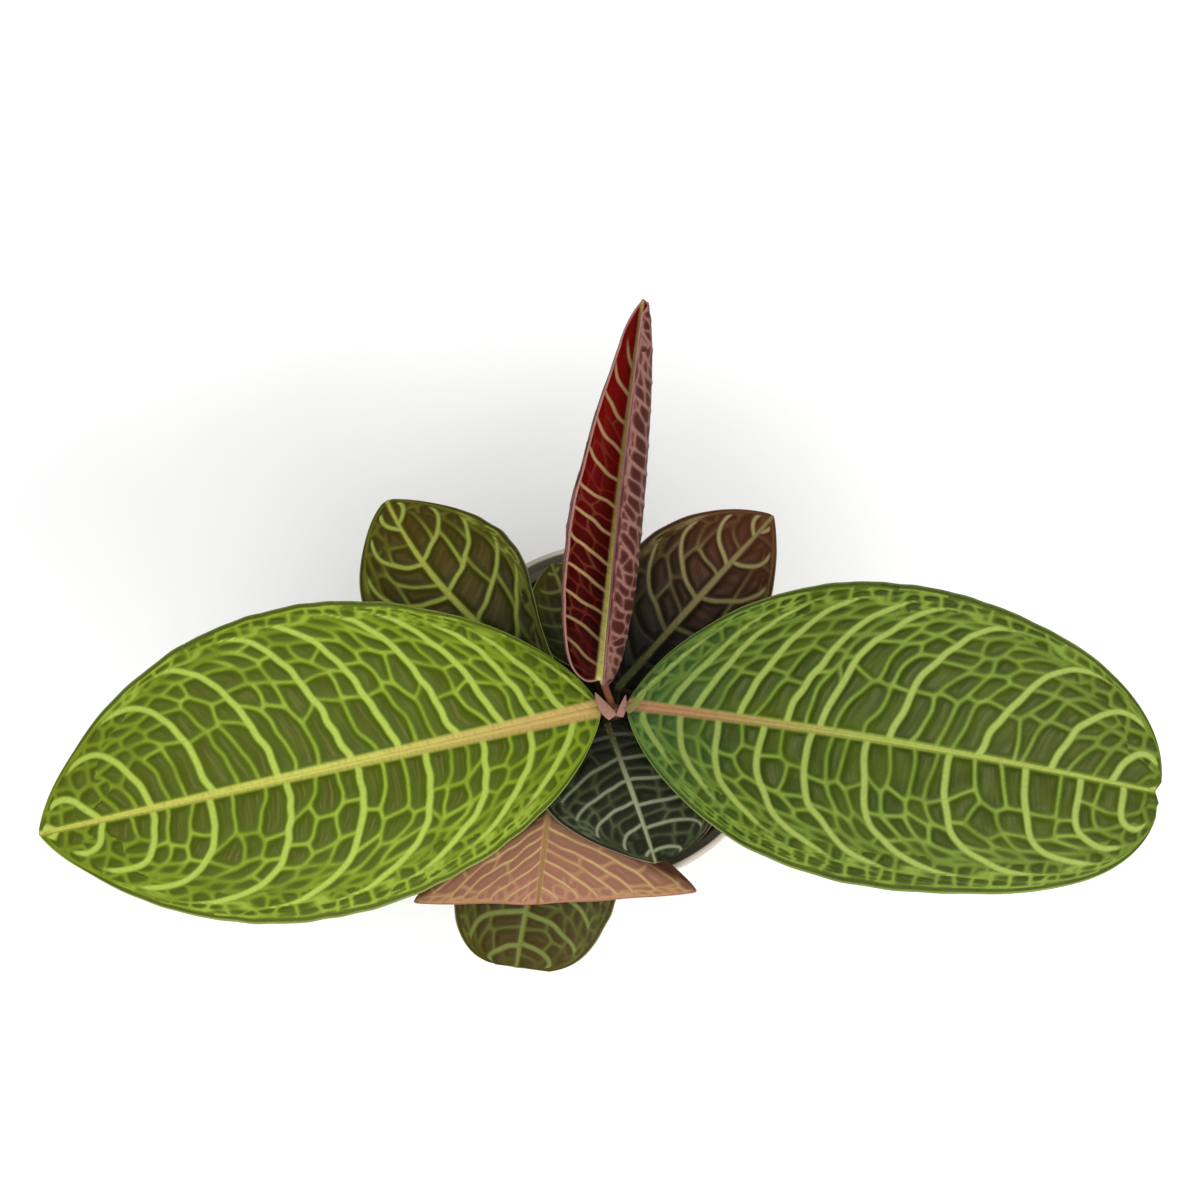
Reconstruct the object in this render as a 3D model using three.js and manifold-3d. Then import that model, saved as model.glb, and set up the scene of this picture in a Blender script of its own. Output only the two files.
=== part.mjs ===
// A young labisia standing in its round nursery pot: pot, soil, stem, nine leaves and the growing tip.
// Millimetres, +Z up. The origin is the centre of the pot's flat underside, and the front is -Y.
import * as THREE from "three";
import { mergeVertices } from "three/addons/utils/BufferGeometryUtils.js";
import Module from "manifold-3d";

const wasm = await Module();
wasm.setup();

// ---- driving dimensions ----
const GAP = 0.3; // clearance between pieces that touch

const POT_HEIGHT = 90;
const POT_LIP_RADIUS = 50;
const POT_BASE_RADIUS = 35;
const POT_WALL = 1.5;
const LIP_BAND_HEIGHT = 13; // the thicker band below the lip
const LIP_STEP = 2.6; // how far the band stands out from the tapered wall
const LIP_ROUND = 0.9; // rounding of the lip's edges
const POT_SIDES = 64;
const DRAIN_HOLES = 6;
const DRAIN_RADIUS = 4;
const DRAIN_CIRCLE = 24; // the drain holes stand on this radius

const SOIL_TOP = 80; // the soil's surface, one centimetre under the lip
const SOIL_CROWN = 2; // the soil is this much higher at the stem
const SOIL_SIDES = 48;

const STEM_AXIS = [1.5, -2.5];
const STEM_FOOT = 55; // height at which the stem starts, inside the soil
const STEM_TOP = 124;
const STEM_FOOT_RADIUS = 3.2;
const STEM_TOP_RADIUS = 1.3;

const BLADE_THICKNESS = 0.8;
const PETIOLE_HALF_WIDTH = 1.2; // half the width of a blade where its stalk joins it
const TIP_HALF_WIDTH = 0.5;
const ROLL_FADE = 6; // a blade narrower than this on one side loses its rolled margin
const STATIONS = 17; // cross-sections along a blade
const RIDGE_STATIONS = [0.05, 0.15, 0.3, 0.45, 0.6, 0.75, 0.88]; // along a blade, under its midrib
const TUBE_SIDES = 8;

// Every leaf: where its blade starts, where its stalk leaves the stem, how its midrib runs, and the shape
// of its two sides, left and right as seen from the stalk. Angles in degrees. A side's outline is widest at
// "widest" of the length, and "base" and "tip" say how pointed its ends are: 0.5 is round, 1 is pointed.
// "fold" lifts the side from the midrib and "curl" turns it further towards the margin (below 0 is down).
const LEAVES = {
  leaf_left: {
    colour: 0x6f8f2a,
    start: [-1.8, -3, 127],
    node: 116,
    heading: 195.6,
    swing: -4,
    rise: 24,
    droop: 32,
    length: 163,
    left: { width: 40.5, widest: 0.51, base: 0.69, tip: 0.84, fold: 8, curl: -16 },
    right: { width: 46.5, widest: 0.53, base: 0.6, tip: 0.76, fold: 8, curl: -16 },
    ridge: 1.3,
  },
  leaf_right: {
    colour: 0x6f8f2a,
    start: [5.8, -1.9, 127],
    node: 117,
    heading: -9.8,
    swing: -1,
    rise: 24,
    droop: 32,
    length: 153,
    left: { width: 44, widest: 0.51, base: 0.69, tip: 0.47, fold: 8, curl: -14 },
    right: { width: 40.5, widest: 0.5, base: 0.7, tip: 0.38, fold: 8, curl: -14 },
    ridge: 1.3,
  },
  leaf_young: {
    colour: 0x6a1418,
    start: [-1.2, 3.1, 142],
    node: STEM_TOP,
    heading: 85,
    swing: -3,
    rise: 42,
    droop: 6,
    length: 118,
    left: { width: 17.5, widest: 0.33, base: 0.81, tip: 0.8, fold: 12, curl: 150, curlPower: 5 },
    right: { width: 21.5, widest: 0.43, base: 0.6, tip: 0.46, fold: 20, curl: 165, curlPower: 1.3 },
    ridge: 1,
    ridgeEnd: 0.5,
    acrossSteps: 8,
  },
  leaf_back_left: {
    colour: 0x5a5a20,
    start: [-5.8, 2.9, 113],
    node: 105,
    heading: 158,
    swing: -44,
    rise: 20,
    droop: 36,
    length: 84,
    left: { width: 27.3, widest: 0.45, base: 0.7, tip: 0.75, fold: 6, curl: -20 },
    right: { width: 24, widest: 0.6, base: 1.44, tip: 0.75, fold: 6, curl: -20 },
    ridge: 1.1,
  },
  leaf_back_right: {
    colour: 0x4a3520,
    start: [3, 4.4, 113],
    node: 107,
    heading: 46.3,
    swing: 3,
    rise: 20,
    droop: 36,
    length: 68.5,
    left: { width: 23.7, widest: 0.46, base: 0.59, tip: 0.72, fold: 6, curl: -20 },
    right: { width: 21, widest: 0.38, base: 0.59, tip: 0.87, fold: 6, curl: -20 },
    ridge: 1.1,
  },
  leaf_front_dark: {
    colour: 0x2a3820,
    start: [-0.2, -6.2, 120.5],
    node: 111,
    heading: -69.6,
    swing: -2,
    rise: 4,
    droop: 18,
    length: 42.5,
    left: { width: 26, widest: 0.5, base: 0.6, tip: 0.4, fold: 8, curl: -18 },
    right: { width: 25.5, widest: 0.3, base: 0.65, tip: 0.9, fold: 8, curl: -18 },
    ridge: 0.9,
  },
  leaf_front_low: {
    colour: 0x56601c,
    start: [-5.7, -8.3, 95.5],
    node: 92,
    heading: -116.6,
    swing: 19,
    rise: 6,
    droop: 18,
    length: 70.5,
    left: { width: 25, widest: 0.56, base: 0.58, tip: 0.27, fold: 5, curl: -18 },
    right: { width: 24.5, widest: 0.49, base: 0.6, tip: 0.28, fold: 5, curl: -18 },
    ridge: 1,
  },
  leaf_behind: {
    colour: 0x4c5418,
    start: [-4.4, 11.9, 97],
    node: 92,
    heading: 111,
    swing: 0,
    rise: 8,
    droop: 16,
    length: 33,
    left: { width: 12, widest: 0.5, base: 0.6, tip: 0.7, fold: 8, curl: -16 },
    right: { width: 12, widest: 0.5, base: 0.6, tip: 0.7, fold: 8, curl: -16 },
    ridge: 0.9,
  },
};

// One broad leaf has creased along a pair of its side veins: its midrib climbs to a crest and its outer half
// hangs down from there. Each side is ruled straight from the midrib to a margin that bends at its corner.
const CREASED_LEAF = {
  name: "leaf_front_bronze",
  colour: 0xa07060,
  start: [-14.4, -17, 103],
  crest: [-17, -32, 116.5],
  tip: [-20.2, -56.6, 98.8],
  leftCorner: [27.3, -53.5, 98.5],
  rightCorner: [-56.8, -56.9, 100],
  node: 99,
  crestAt: 0.4, // share of the length at which the crest lies
  crestRound: 0.1, // how softly the midrib bends there
  cornerRound: 0.04, // how softly the margins turn at their corners
  ridge: 1,
};

// The small pieces at the growing tip: each is a pointed scale along a short bowed line.
const TIP_SCALES = {
  bud_scale_left: { colour: 0x967368, from: [1.9, -5.9, 129.6], to: [-3.2, 0.3, 135], halfWidth: 1.6, bow: 0.8 },
  bud_scale_right: { colour: 0x967368, from: [3.3, -5.6, 130], to: [5, -0.3, 136], halfWidth: 1, bow: 0.6 },
  stipule: { colour: 0x5c6b22, from: [5.2, -4.4, 132], to: [10.8, 0.7, 136], halfWidth: 1.1, bow: 0.6 },
};
const SCALE_THICKNESS = 0.9;

// ---- geometry helpers ----
const rad = THREE.MathUtils.degToRad;
const vec = (p) => new THREE.Vector3(...p);

// A closed surface through rings with the same number of points, each ring running anticlockwise
// as seen from the last ring, with flat fans closing both ends.
function loft(rings) {
  const count = rings[0].length;
  const positions = rings.flat().flatMap((p) => [p.x, p.y, p.z]);
  const triangles = [];
  for (let i = 0; i < rings.length - 1; i++) {
    for (let j = 0; j < count; j++) {
      const a = i * count + j;
      const b = i * count + ((j + 1) % count);
      triangles.push(a, b, b + count, a, b + count, a + count);
    }
  }
  const last = (rings.length - 1) * count;
  for (let j = 1; j < count - 1; j++) {
    triangles.push(0, j + 1, j, last, last + j, last + j + 1);
  }
  const geometry = new THREE.BufferGeometry();
  geometry.setAttribute("position", new THREE.Float32BufferAttribute(positions, 3));
  geometry.setIndex(triangles);
  return geometry;
}

function toSolid(geometry) {
  const bare = geometry.clone();
  bare.deleteAttribute("normal");
  bare.deleteAttribute("uv");
  const merged = mergeVertices(bare, 1e-4);
  return new wasm.Manifold(
    new wasm.Mesh({
      numProp: 3,
      vertProperties: merged.attributes.position.array,
      triVerts: new Uint32Array(merged.index.array),
    }),
  );
}

function toGeometry(solid) {
  const { vertProperties, triVerts } = solid.getMesh();
  const geometry = new THREE.BufferGeometry();
  geometry.setAttribute("position", new THREE.BufferAttribute(vertProperties, 3));
  geometry.setIndex(new THREE.BufferAttribute(triVerts, 1));
  geometry.computeVertexNormals();
  return geometry;
}

// A join can leave a sliver or a tiny pocket beside the body it makes: only the body is kept.
function joined(first, second) {
  const bodies = first.add(second).decompose();
  return bodies.reduce((best, body) => (body.volume() > best.volume() ? body : best));
}

function mesh(name, geometry, colour, roughness) {
  const material = new THREE.MeshStandardMaterial({ color: colour, roughness, metalness: 0 });
  const made = new THREE.Mesh(geometry, material);
  made.name = name;
  return made;
}

// A round rod through points, with a radius at each point.
function rod(points, radii) {
  const curve = new THREE.CatmullRomCurve3(points);
  const side = new THREE.Vector3();
  const rings = points.map((centre, i) => {
    const along = curve.getTangent(i / (points.length - 1));
    if (i === 0) side.set(0, 0, 1).cross(along);
    if (i === 0 && side.length() < 0.1) side.set(1, 0, 0);
    side.addScaledVector(along, -side.dot(along)).normalize();
    const up = new THREE.Vector3().crossVectors(along, side);
    return Array.from({ length: TUBE_SIDES }, (_, j) => {
      const turn = (2 * Math.PI * j) / TUBE_SIDES;
      return centre
        .clone()
        .addScaledVector(side, radii[i] * Math.cos(turn))
        .addScaledVector(up, radii[i] * Math.sin(turn));
    });
  });
  return loft(rings);
}

// ---- leaves ----
// Share of the full half-width at u along the blade: a parabola stretched so that its top is at "widest",
// raised to a power that runs from "base" to "tip".
function outline(side, u) {
  const stretched = Math.pow(u, Math.log(0.5) / Math.log(side.widest));
  const parabola = Math.max(0, 4 * stretched * (1 - stretched));
  const mix = u * u * (3 - 2 * u);
  return Math.pow(parabola, side.base + (side.tip - side.base) * mix);
}

// The midrib as points with a frame: along the leaf, across to its left, and up from its upper face.
function midrib(leaf) {
  const steps = 160;
  const point = vec(leaf.start);
  const frames = [];
  for (let i = 0; i <= steps; i++) {
    const u = i / steps;
    const share = THREE.MathUtils.smoothstep(u, 0, 1);
    const pitch = rad(leaf.rise - leaf.droop * share);
    const yaw = rad(leaf.heading + leaf.swing * u);
    const along = new THREE.Vector3(
      Math.cos(pitch) * Math.cos(yaw),
      Math.cos(pitch) * Math.sin(yaw),
      Math.sin(pitch),
    );
    const across = new THREE.Vector3(-Math.sin(yaw), Math.cos(yaw), 0);
    const up = new THREE.Vector3().crossVectors(along, across);
    frames.push({ point: point.clone(), along, across, up });
    point.addScaledVector(along, leaf.length / steps);
  }
  return (u) => frames[Math.round(u * steps)];
}

// Points from the midrib to the margin of one side, each with the blade's normal there.
function halfSection(frame, side, sign, halfWidth, steps) {
  const roll = side.curl > 0 ? side.curl * Math.min(1, halfWidth / ROLL_FADE) : side.curl;
  const fine = 6;
  const points = [];
  let out = 0;
  let up = 0;
  for (let i = 0; i <= steps * fine; i++) {
    const v = i / (steps * fine);
    const slope = rad(side.fold + roll * Math.pow(v, side.curlPower ?? 1));
    if (i % fine === 0) {
      const normal = frame.up.clone().multiplyScalar(i === 0 ? 1 : Math.cos(slope));
      if (i > 0) normal.addScaledVector(frame.across, -sign * Math.sin(slope));
      const point = frame.point
        .clone()
        .addScaledVector(frame.across, sign * out)
        .addScaledVector(frame.up, up);
      points.push({ point, normal });
    }
    out += (Math.cos(slope) * halfWidth) / (steps * fine);
    up += (Math.sin(slope) * halfWidth) / (steps * fine);
  }
  return points;
}

const stationAt = (i) => (1 - Math.cos((Math.PI * i) / (STATIONS - 1))) / 2;

// One ring of a blade: along its upper face from the left margin to the right, and back along the lower one.
function shellRing(left, right) {
  const across = [...left].reverse().concat(right.slice(1));
  const offset = (h) => (p) => p.point.clone().addScaledVector(p.normal, h);
  const upper = across.map(offset(BLADE_THICKNESS / 2));
  const lower = across.reverse().map(offset(-BLADE_THICKNESS / 2));
  return [...upper, ...lower];
}

function blade(leaf, frameAt) {
  const steps = leaf.acrossSteps ?? 4;
  const rings = [];
  for (let i = 0; i < STATIONS; i++) {
    const u = stationAt(i);
    const least = THREE.MathUtils.lerp(PETIOLE_HALF_WIDTH, TIP_HALF_WIDTH, u);
    const section = (side, sign) => {
      const halfWidth = Math.max(least, side.width * outline(side, u));
      return halfSection(frameAt(u), side, sign, halfWidth, steps);
    };
    rings.push(shellRing(section(leaf.left, 1), section(leaf.right, -1)));
  }
  return loft(rings);
}

// ---- the creased leaf ----
// Two straight runs joined by a rounded bend at share "at" of the way.
function bentLine(first, bend, last, u, at, round) {
  const past = (u - at) / (1 - at);
  const second = (past + Math.hypot(past, round)) / 2;
  const early = u / at - (second * (1 - at)) / at;
  return first
    .clone()
    .addScaledVector(bend.clone().sub(first), early)
    .addScaledVector(last.clone().sub(bend), second);
}

function creasedMidrib(leaf) {
  const [first, bend, last] = [leaf.start, leaf.crest, leaf.tip].map(vec);
  const pointAt = (u) => bentLine(first, bend, last, u, leaf.crestAt, leaf.crestRound);
  return (u) => {
    const point = pointAt(u);
    const along = pointAt(u + 0.01).sub(pointAt(u - 0.01)).normalize();
    const across = new THREE.Vector3(0, 0, 1).cross(along).normalize();
    const up = new THREE.Vector3().crossVectors(along, across);
    return { point, along, across, up };
  };
}

function creasedBlade(leaf, frameAt) {
  const steps = 4;
  const [first, last] = [leaf.start, leaf.tip].map(vec);
  const rings = [];
  for (let i = 0; i < STATIONS; i++) {
    const u = stationAt(i);
    const frame = frameAt(u);
    const least = THREE.MathUtils.lerp(PETIOLE_HALF_WIDTH, TIP_HALF_WIDTH, u);
    const section = (corner, sign) => {
      const margin = bentLine(first, vec(corner), last, u, leaf.crestAt, leaf.cornerRound);
      margin.addScaledVector(frame.across, sign * least);
      const side = margin.clone().sub(frame.point).normalize();
      const normal = new THREE.Vector3().crossVectors(frame.along, side).multiplyScalar(sign).normalize();
      return Array.from({ length: steps + 1 }, (_, j) => ({
        point: frame.point.clone().lerp(margin, j / steps),
        normal: j === 0 ? frame.up : normal,
      }));
    };
    rings.push(shellRing(section(leaf.leftCorner, 1), section(leaf.rightCorner, -1)));
  }
  return loft(rings);
}

// ---- stalks ----
// The stalk leaves the stem level, bends up and runs on under the blade as the midrib's ridge.
function stalk(leaf, frameAt) {
  const start = vec(leaf.start);
  const axis = new THREE.Vector3(STEM_AXIS[0], STEM_AXIS[1], leaf.node);
  const outward = start.clone().sub(axis).setZ(0).normalize();
  const stemRadius = THREE.MathUtils.mapLinear(
    leaf.node,
    STEM_FOOT,
    STEM_TOP,
    STEM_FOOT_RADIUS,
    STEM_TOP_RADIUS,
  );
  const reach = start.clone().sub(axis).setZ(0).length();
  const fromTop = leaf.node === STEM_TOP;
  const foot = fromTop
    ? axis.clone().add(new THREE.Vector3(0, 0, GAP))
    : axis.clone().addScaledVector(outward, stemRadius + 2 * GAP);
  const first = frameAt(0);
  const lead = fromTop
    ? new THREE.Vector3(0, 0, 5)
    : outward.clone().multiplyScalar(Math.max(2.8, reach * 0.35));
  const back = reach > 10 ? -4 : 0;
  const arrive = start
    .clone()
    .addScaledVector(first.along, back)
    .add(new THREE.Vector3(0, 0, -3));
  const bezier = new THREE.CubicBezierCurve3(foot, foot.clone().add(lead), arrive, start);
  const points = bezier.getPoints(7);
  const radii = points.map(() => leaf.ridge);
  for (const u of RIDGE_STATIONS) {
    if (u > (leaf.ridgeEnd ?? 1)) break;
    const frame = frameAt(u);
    const radius = leaf.ridge * (1 - 0.75 * u);
    points.push(frame.point.clone().addScaledVector(frame.up, -0.6 * radius));
    radii.push(radius);
  }
  return rod(points, radii);
}

function buildLeaf(name, leaf, frameAt, bladeGeometry) {
  const solid = joined(toSolid(bladeGeometry), toSolid(stalk(leaf, frameAt)));
  return mesh(name, toGeometry(solid), leaf.colour, 0.5);
}

// ---- growing tip ----
// A pointed scale: its section is a flat lens whose width follows a half wave along a bowed line.
function buildScale(name, scale) {
  const from = vec(scale.from);
  const to = vec(scale.to);
  const middle = from.clone().lerp(to, 0.5).add(new THREE.Vector3(0, -scale.bow, -scale.bow));
  const curve = new THREE.QuadraticBezierCurve3(from, middle, to);
  const face = new THREE.Vector3(0, -0.7, 0.7);
  const rings = [];
  const steps = 8;
  for (let i = 0; i <= steps; i++) {
    const u = i / steps;
    const width = scale.halfWidth * (0.15 + 0.85 * Math.sin(Math.PI * Math.pow(0.12 + 0.86 * u, 0.7)));
    const thickness = (SCALE_THICKNESS / 2) * (1 - 0.6 * u);
    const along = curve.getTangent(u);
    const across = new THREE.Vector3().crossVectors(face, along).normalize();
    const up = new THREE.Vector3().crossVectors(along, across);
    const centre = curve.getPoint(u);
    const ring = [];
    for (let j = 0; j < TUBE_SIDES; j++) {
      const turn = (2 * Math.PI * j) / TUBE_SIDES;
      ring.push(
        centre
          .clone()
          .addScaledVector(across, width * Math.cos(turn))
          .addScaledVector(up, thickness * Math.sin(turn)),
      );
    }
    rings.push(ring);
  }
  return mesh(name, loft(rings), scale.colour, 0.6);
}

// ---- stem, soil and pot ----
function buildStem() {
  const points = [];
  const radii = [];
  const steps = 6;
  for (let i = 0; i <= steps; i++) {
    const share = i / steps;
    points.push(vec([...STEM_AXIS, THREE.MathUtils.lerp(STEM_FOOT, STEM_TOP, share)]));
    radii.push(THREE.MathUtils.lerp(STEM_FOOT_RADIUS, STEM_TOP_RADIUS, share));
  }
  return mesh("stem", rod(points, radii), 0x6b4a34, 0.7);
}

const LIP_UNDERSIDE = POT_HEIGHT - LIP_BAND_HEIGHT;
// Outer radius of the tapered wall at height z.
function wallRadius(z) {
  return THREE.MathUtils.mapLinear(z, 0, LIP_UNDERSIDE, POT_BASE_RADIUS, POT_LIP_RADIUS - LIP_STEP);
}

// A vertical drill for cutting holes.
function drill(x, y, radius, from, to, sides) {
  const geometry = new THREE.CylinderGeometry(radius, radius, to - from, sides);
  geometry.rotateX(Math.PI / 2).translate(x, y, (from + to) / 2);
  return toSolid(geometry);
}

// Turns a profile of [radius, height] points round the pot's axis.
function turned(profile, sides) {
  const points = profile.map(([r, z]) => new THREE.Vector2(r, z));
  return new THREE.LatheGeometry(points, sides).rotateX(Math.PI / 2);
}

function buildPot() {
  const lipInner = POT_LIP_RADIUS - POT_WALL;
  const profile = [
    [0, 0],
    [POT_BASE_RADIUS - 1, 0],
    [wallRadius(0), 1],
    [wallRadius(LIP_UNDERSIDE - 1), LIP_UNDERSIDE - 1],
    [POT_LIP_RADIUS, LIP_UNDERSIDE],
    [POT_LIP_RADIUS, POT_HEIGHT - LIP_ROUND],
    [POT_LIP_RADIUS - LIP_ROUND / 2, POT_HEIGHT],
    [lipInner, POT_HEIGHT],
    [lipInner - 0.3, POT_HEIGHT - LIP_ROUND],
    [lipInner - 0.3, LIP_UNDERSIDE + 1],
    [wallRadius(LIP_UNDERSIDE - 1) - POT_WALL, LIP_UNDERSIDE - 1],
    [wallRadius(POT_WALL) - POT_WALL, POT_WALL],
    [0, POT_WALL],
  ];
  let solid = toSolid(turned(profile, POT_SIDES));
  for (let i = 0; i < DRAIN_HOLES; i++) {
    const turn = (2 * Math.PI * i) / DRAIN_HOLES;
    const x = DRAIN_CIRCLE * Math.cos(turn);
    const y = DRAIN_CIRCLE * Math.sin(turn);
    solid = solid.subtract(drill(x, y, DRAIN_RADIUS, -1, POT_WALL + 1, 20));
  }
  return mesh("pot", toGeometry(solid), 0xc8bcb0, 0.55);
}

function buildSoil() {
  const inner = (z) => wallRadius(z) - POT_WALL - GAP;
  const profile = [
    [0, POT_WALL + GAP],
    [inner(POT_WALL + GAP), POT_WALL + GAP],
    [inner(LIP_UNDERSIDE - 2), LIP_UNDERSIDE - 2],
    [inner(LIP_UNDERSIDE - 2), SOIL_TOP - 1],
    [inner(LIP_UNDERSIDE - 2) - 2, SOIL_TOP],
    [0, SOIL_TOP + SOIL_CROWN],
  ];
  const bore = drill(...STEM_AXIS, STEM_FOOT_RADIUS + GAP, STEM_FOOT - GAP, SOIL_TOP + 10, 16);
  return mesh("soil", toGeometry(toSolid(turned(profile, SOIL_SIDES)).subtract(bore)), 0x1c1612, 0.95);
}

const plant = new THREE.Group();
plant.add(buildPot(), buildSoil(), buildStem());
for (const [name, leaf] of Object.entries(LEAVES)) {
  const frameAt = midrib(leaf);
  plant.add(buildLeaf(name, leaf, frameAt, blade(leaf, frameAt)));
}
const creasedFrame = creasedMidrib(CREASED_LEAF);
plant.add(
  buildLeaf(CREASED_LEAF.name, CREASED_LEAF, creasedFrame, creasedBlade(CREASED_LEAF, creasedFrame)),
);
for (const [name, scale] of Object.entries(TIP_SCALES)) plant.add(buildScale(name, scale));

export default plant;
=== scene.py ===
from collections import namedtuple

import bmesh
import bpy
import numpy as np
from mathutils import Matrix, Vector


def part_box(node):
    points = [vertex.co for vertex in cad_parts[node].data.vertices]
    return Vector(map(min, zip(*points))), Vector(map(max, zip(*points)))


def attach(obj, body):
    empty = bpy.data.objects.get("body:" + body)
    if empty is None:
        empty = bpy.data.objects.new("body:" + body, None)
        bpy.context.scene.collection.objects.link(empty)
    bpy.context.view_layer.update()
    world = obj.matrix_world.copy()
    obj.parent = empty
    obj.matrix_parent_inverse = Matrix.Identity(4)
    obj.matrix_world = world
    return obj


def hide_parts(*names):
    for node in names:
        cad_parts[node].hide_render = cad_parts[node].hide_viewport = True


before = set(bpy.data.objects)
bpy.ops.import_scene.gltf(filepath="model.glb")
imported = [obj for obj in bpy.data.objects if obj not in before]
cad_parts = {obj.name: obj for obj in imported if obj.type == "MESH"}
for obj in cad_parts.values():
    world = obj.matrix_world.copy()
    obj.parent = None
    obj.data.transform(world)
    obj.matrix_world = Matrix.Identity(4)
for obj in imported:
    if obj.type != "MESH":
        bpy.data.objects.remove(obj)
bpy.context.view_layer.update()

MM = 0.001
WELD_MM = 0.02  # points closer than this become one

# ---- numbers shared by every leaf, in millimetres unless the comment says otherwise ----
BLADE_HALF_THICKNESS = 0.3
BASE_HALF_WIDTH = 1.1  # half the width of a blade where its stalk joins it
TIP_HALF_WIDTH = 0.25
ROLL_FADE = 6.0  # a blade narrower than this on one side loses its rolled margin
MIDRIB_STEPS = 480
BLADE_EDGE = 0.6  # the skin rounds off over this distance to the margin
STATIONS_BEFORE, STATIONS_AFTER = 14, 5  # side veins counted on past the blade's base and tip
NEARLY_ALL = 0.985  # how much of its half-width a side vein may cross
DRAWS, COLUMN_DRAWS = 64, 8  # strips and rows, and columns, after which the drawn cells repeat
CENTRE_LOW, CENTRE_HIGH = (0.14, 0.27), (0.86, 0.73)  # where a cell's centre may lie in its row and column
WALL_ROUND = 0.3  # how softly the walls of two cells run into each other
CROWDED = 0.36  # cells squeezed below this share of their size give way to an even net
ENDLESS = 9999  # columns of the even net, which has no strip edges
EVEN_SHIFT, MARGIN_SHIFT, MARGIN_STRIP = 50, 40, 7  # which of the drawn cells these two nets take
FAR = 99.0  # a distance to a vein that counts as none
DOME_RISE, DOME_EDGE = 1.7, 3.0  # distance over which a cell swells from a vein, and flattens to the margin
UNDER_DOME = 0.45  # the underside shows this share of the swelling
RIB_GROOVE, VEIN_RIDGE = 0.35, 0.18  # depth of the midrib's groove on top, height of a side vein underneath
NOTCH_FROM, NOTCH_RADIUS = 0.93, 1.8  # where along the midrib a notched tip starts, and its half-width

STALK_STEPS, UNDER_STEPS, ROD_SIDES = 39, 60, 20  # rings up to the blade and under it, points per ring
STALK_SMOOTHINGS = 6
STALK_GAP = 0.3  # between a stalk's foot and the stem

STEM_AXIS = np.array([1.5, -2.5])
STEM_FOOT, STEM_TOP = 55.0, 124.0
STEM_FOOT_RADIUS, STEM_TOP_RADIUS = 3.2, 1.3
STEM_RINGS, STEM_SIDES = 90, 28

# One side of a blade. width: widest half-width; widest: where along the midrib; base, tip: how full the
# outline is at either end; fold: tilt beside the midrib in degrees; curl: how far it turns by the margin;
# power: how late.
Side = namedtuple("Side", "width widest base tip fold curl power")

# The veins of one side. stations: where side veins leave the midrib (share of the length); reach: how far
# they sweep tipward; bend: how straight they start; rim: share of the half-width they stay inside; loop:
# where the small marginal cells begin; cell: width of the cells between side veins; long, short: their
# length beside the midrib and further out; small: size of the marginal cells.
Veins = namedtuple("Veins", "stations reach bend rim loop cell long short small")

# One side of a blade laid flat. u, v: the grid's lines, along the midrib and out to the margin; width: the
# half-width at each u; length: the midrib's; along, across: u and v at every point; x, y: its place in mm.
Flat = namedtuple("Flat", "u v width length along across x y")


def smoothstep(x):
    """3x2 - 2x3, with x held between 0 and 1."""
    x = np.clip(x, 0, 1)
    return x * x * (3 - 2 * x)


def lerp(a, b, share):
    """a + (b - a) share."""
    return a + (b - a) * share


def unit(vectors):
    """Each vector divided by its length."""
    return vectors / np.maximum(np.linalg.norm(vectors, axis=-1, keepdims=True), 1e-12)


def running_sum(values, axis_values):
    """Trapezoid integral of values along the last axis, starting from 0."""
    steps = np.diff(axis_values)
    pieces = (values[..., 1:] + values[..., :-1]) / 2 * steps
    zero = np.zeros(values.shape[:-1] + (1,))
    return np.concatenate([zero, np.cumsum(pieces, axis=-1)], axis=-1)


def ripple(x, y, size, seed):
    """Smooth random height of about -1 to 1: seven sine waves with wavelengths around size, drawn headings
    and drawn phases, added and scaled."""
    draw = np.random.default_rng(seed)
    total = 0.0
    for heading, phase, stretch in draw.uniform(0, 1, (7, 3)):
        turn = 2 * np.pi * heading
        along = x * np.cos(turn) + y * np.sin(turn)
        total = total + np.sin(2 * np.pi * (along / (size * (0.7 + 0.8 * stretch)) + phase))
    return total / 4


# ---- meshes ----
class Shell:
    """A closed surface in the making: points (n, 3) in mm, faces as rows of 3 or 4 indices, and named
    numbers per point."""

    def __init__(self, points, quads, tris, marks):
        self.points, self.quads, self.tris, self.marks = points, quads, tris, marks


def ring_quads(index):
    """Quads between neighbouring rings. index (..., rings, n) names the points in order round each
    ring."""
    below, above = index[..., :-1, :], index[..., 1:, :]
    return np.stack([below, above, np.roll(above, -1, -1), np.roll(below, -1, -1)], -1).reshape(-1, 4)


def loft(rings, marks):
    """Surface through rings (rows, n, 3): neighbouring rings are joined by quads, and each end is a fan
    round the mean of its ring."""
    rows, count, _ = rings.shape
    index = np.arange(rows * count).reshape(rows, count)
    first, last = index[0], index[-1]
    poles = np.array([rings[0].mean(0), rings[-1].mean(0)])
    start = np.stack([np.full(count, rows * count), first, np.roll(first, -1)], -1)
    end = np.stack([np.full(count, rows * count + 1), np.roll(last, -1), last], -1)
    marks = {name: np.broadcast_to(value, (rows, count)).reshape(-1) for name, value in marks.items()}
    marks = {n: np.append(v, [v[:count].mean(), v[-count:].mean()]) for n, v in marks.items()}
    points = np.vstack([rings.reshape(-1, 3), poles])
    return Shell(points, ring_quads(index), np.vstack([start, end]), marks)


def gather(shells):
    """Several shells as one, each keeping its own faces."""
    offsets = np.cumsum([0] + [len(s.points) for s in shells[:-1]])
    names = set().union(*[s.marks for s in shells])
    marks = {n: np.concatenate([s.marks.get(n, np.zeros(len(s.points))) for s in shells]) for n in names}
    return Shell(
        np.vstack([s.points for s in shells]),
        np.vstack([s.quads + o for s, o in zip(shells, offsets)]),
        np.vstack([s.tris + o for s, o in zip(shells, offsets)]),
        marks,
    )


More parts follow.
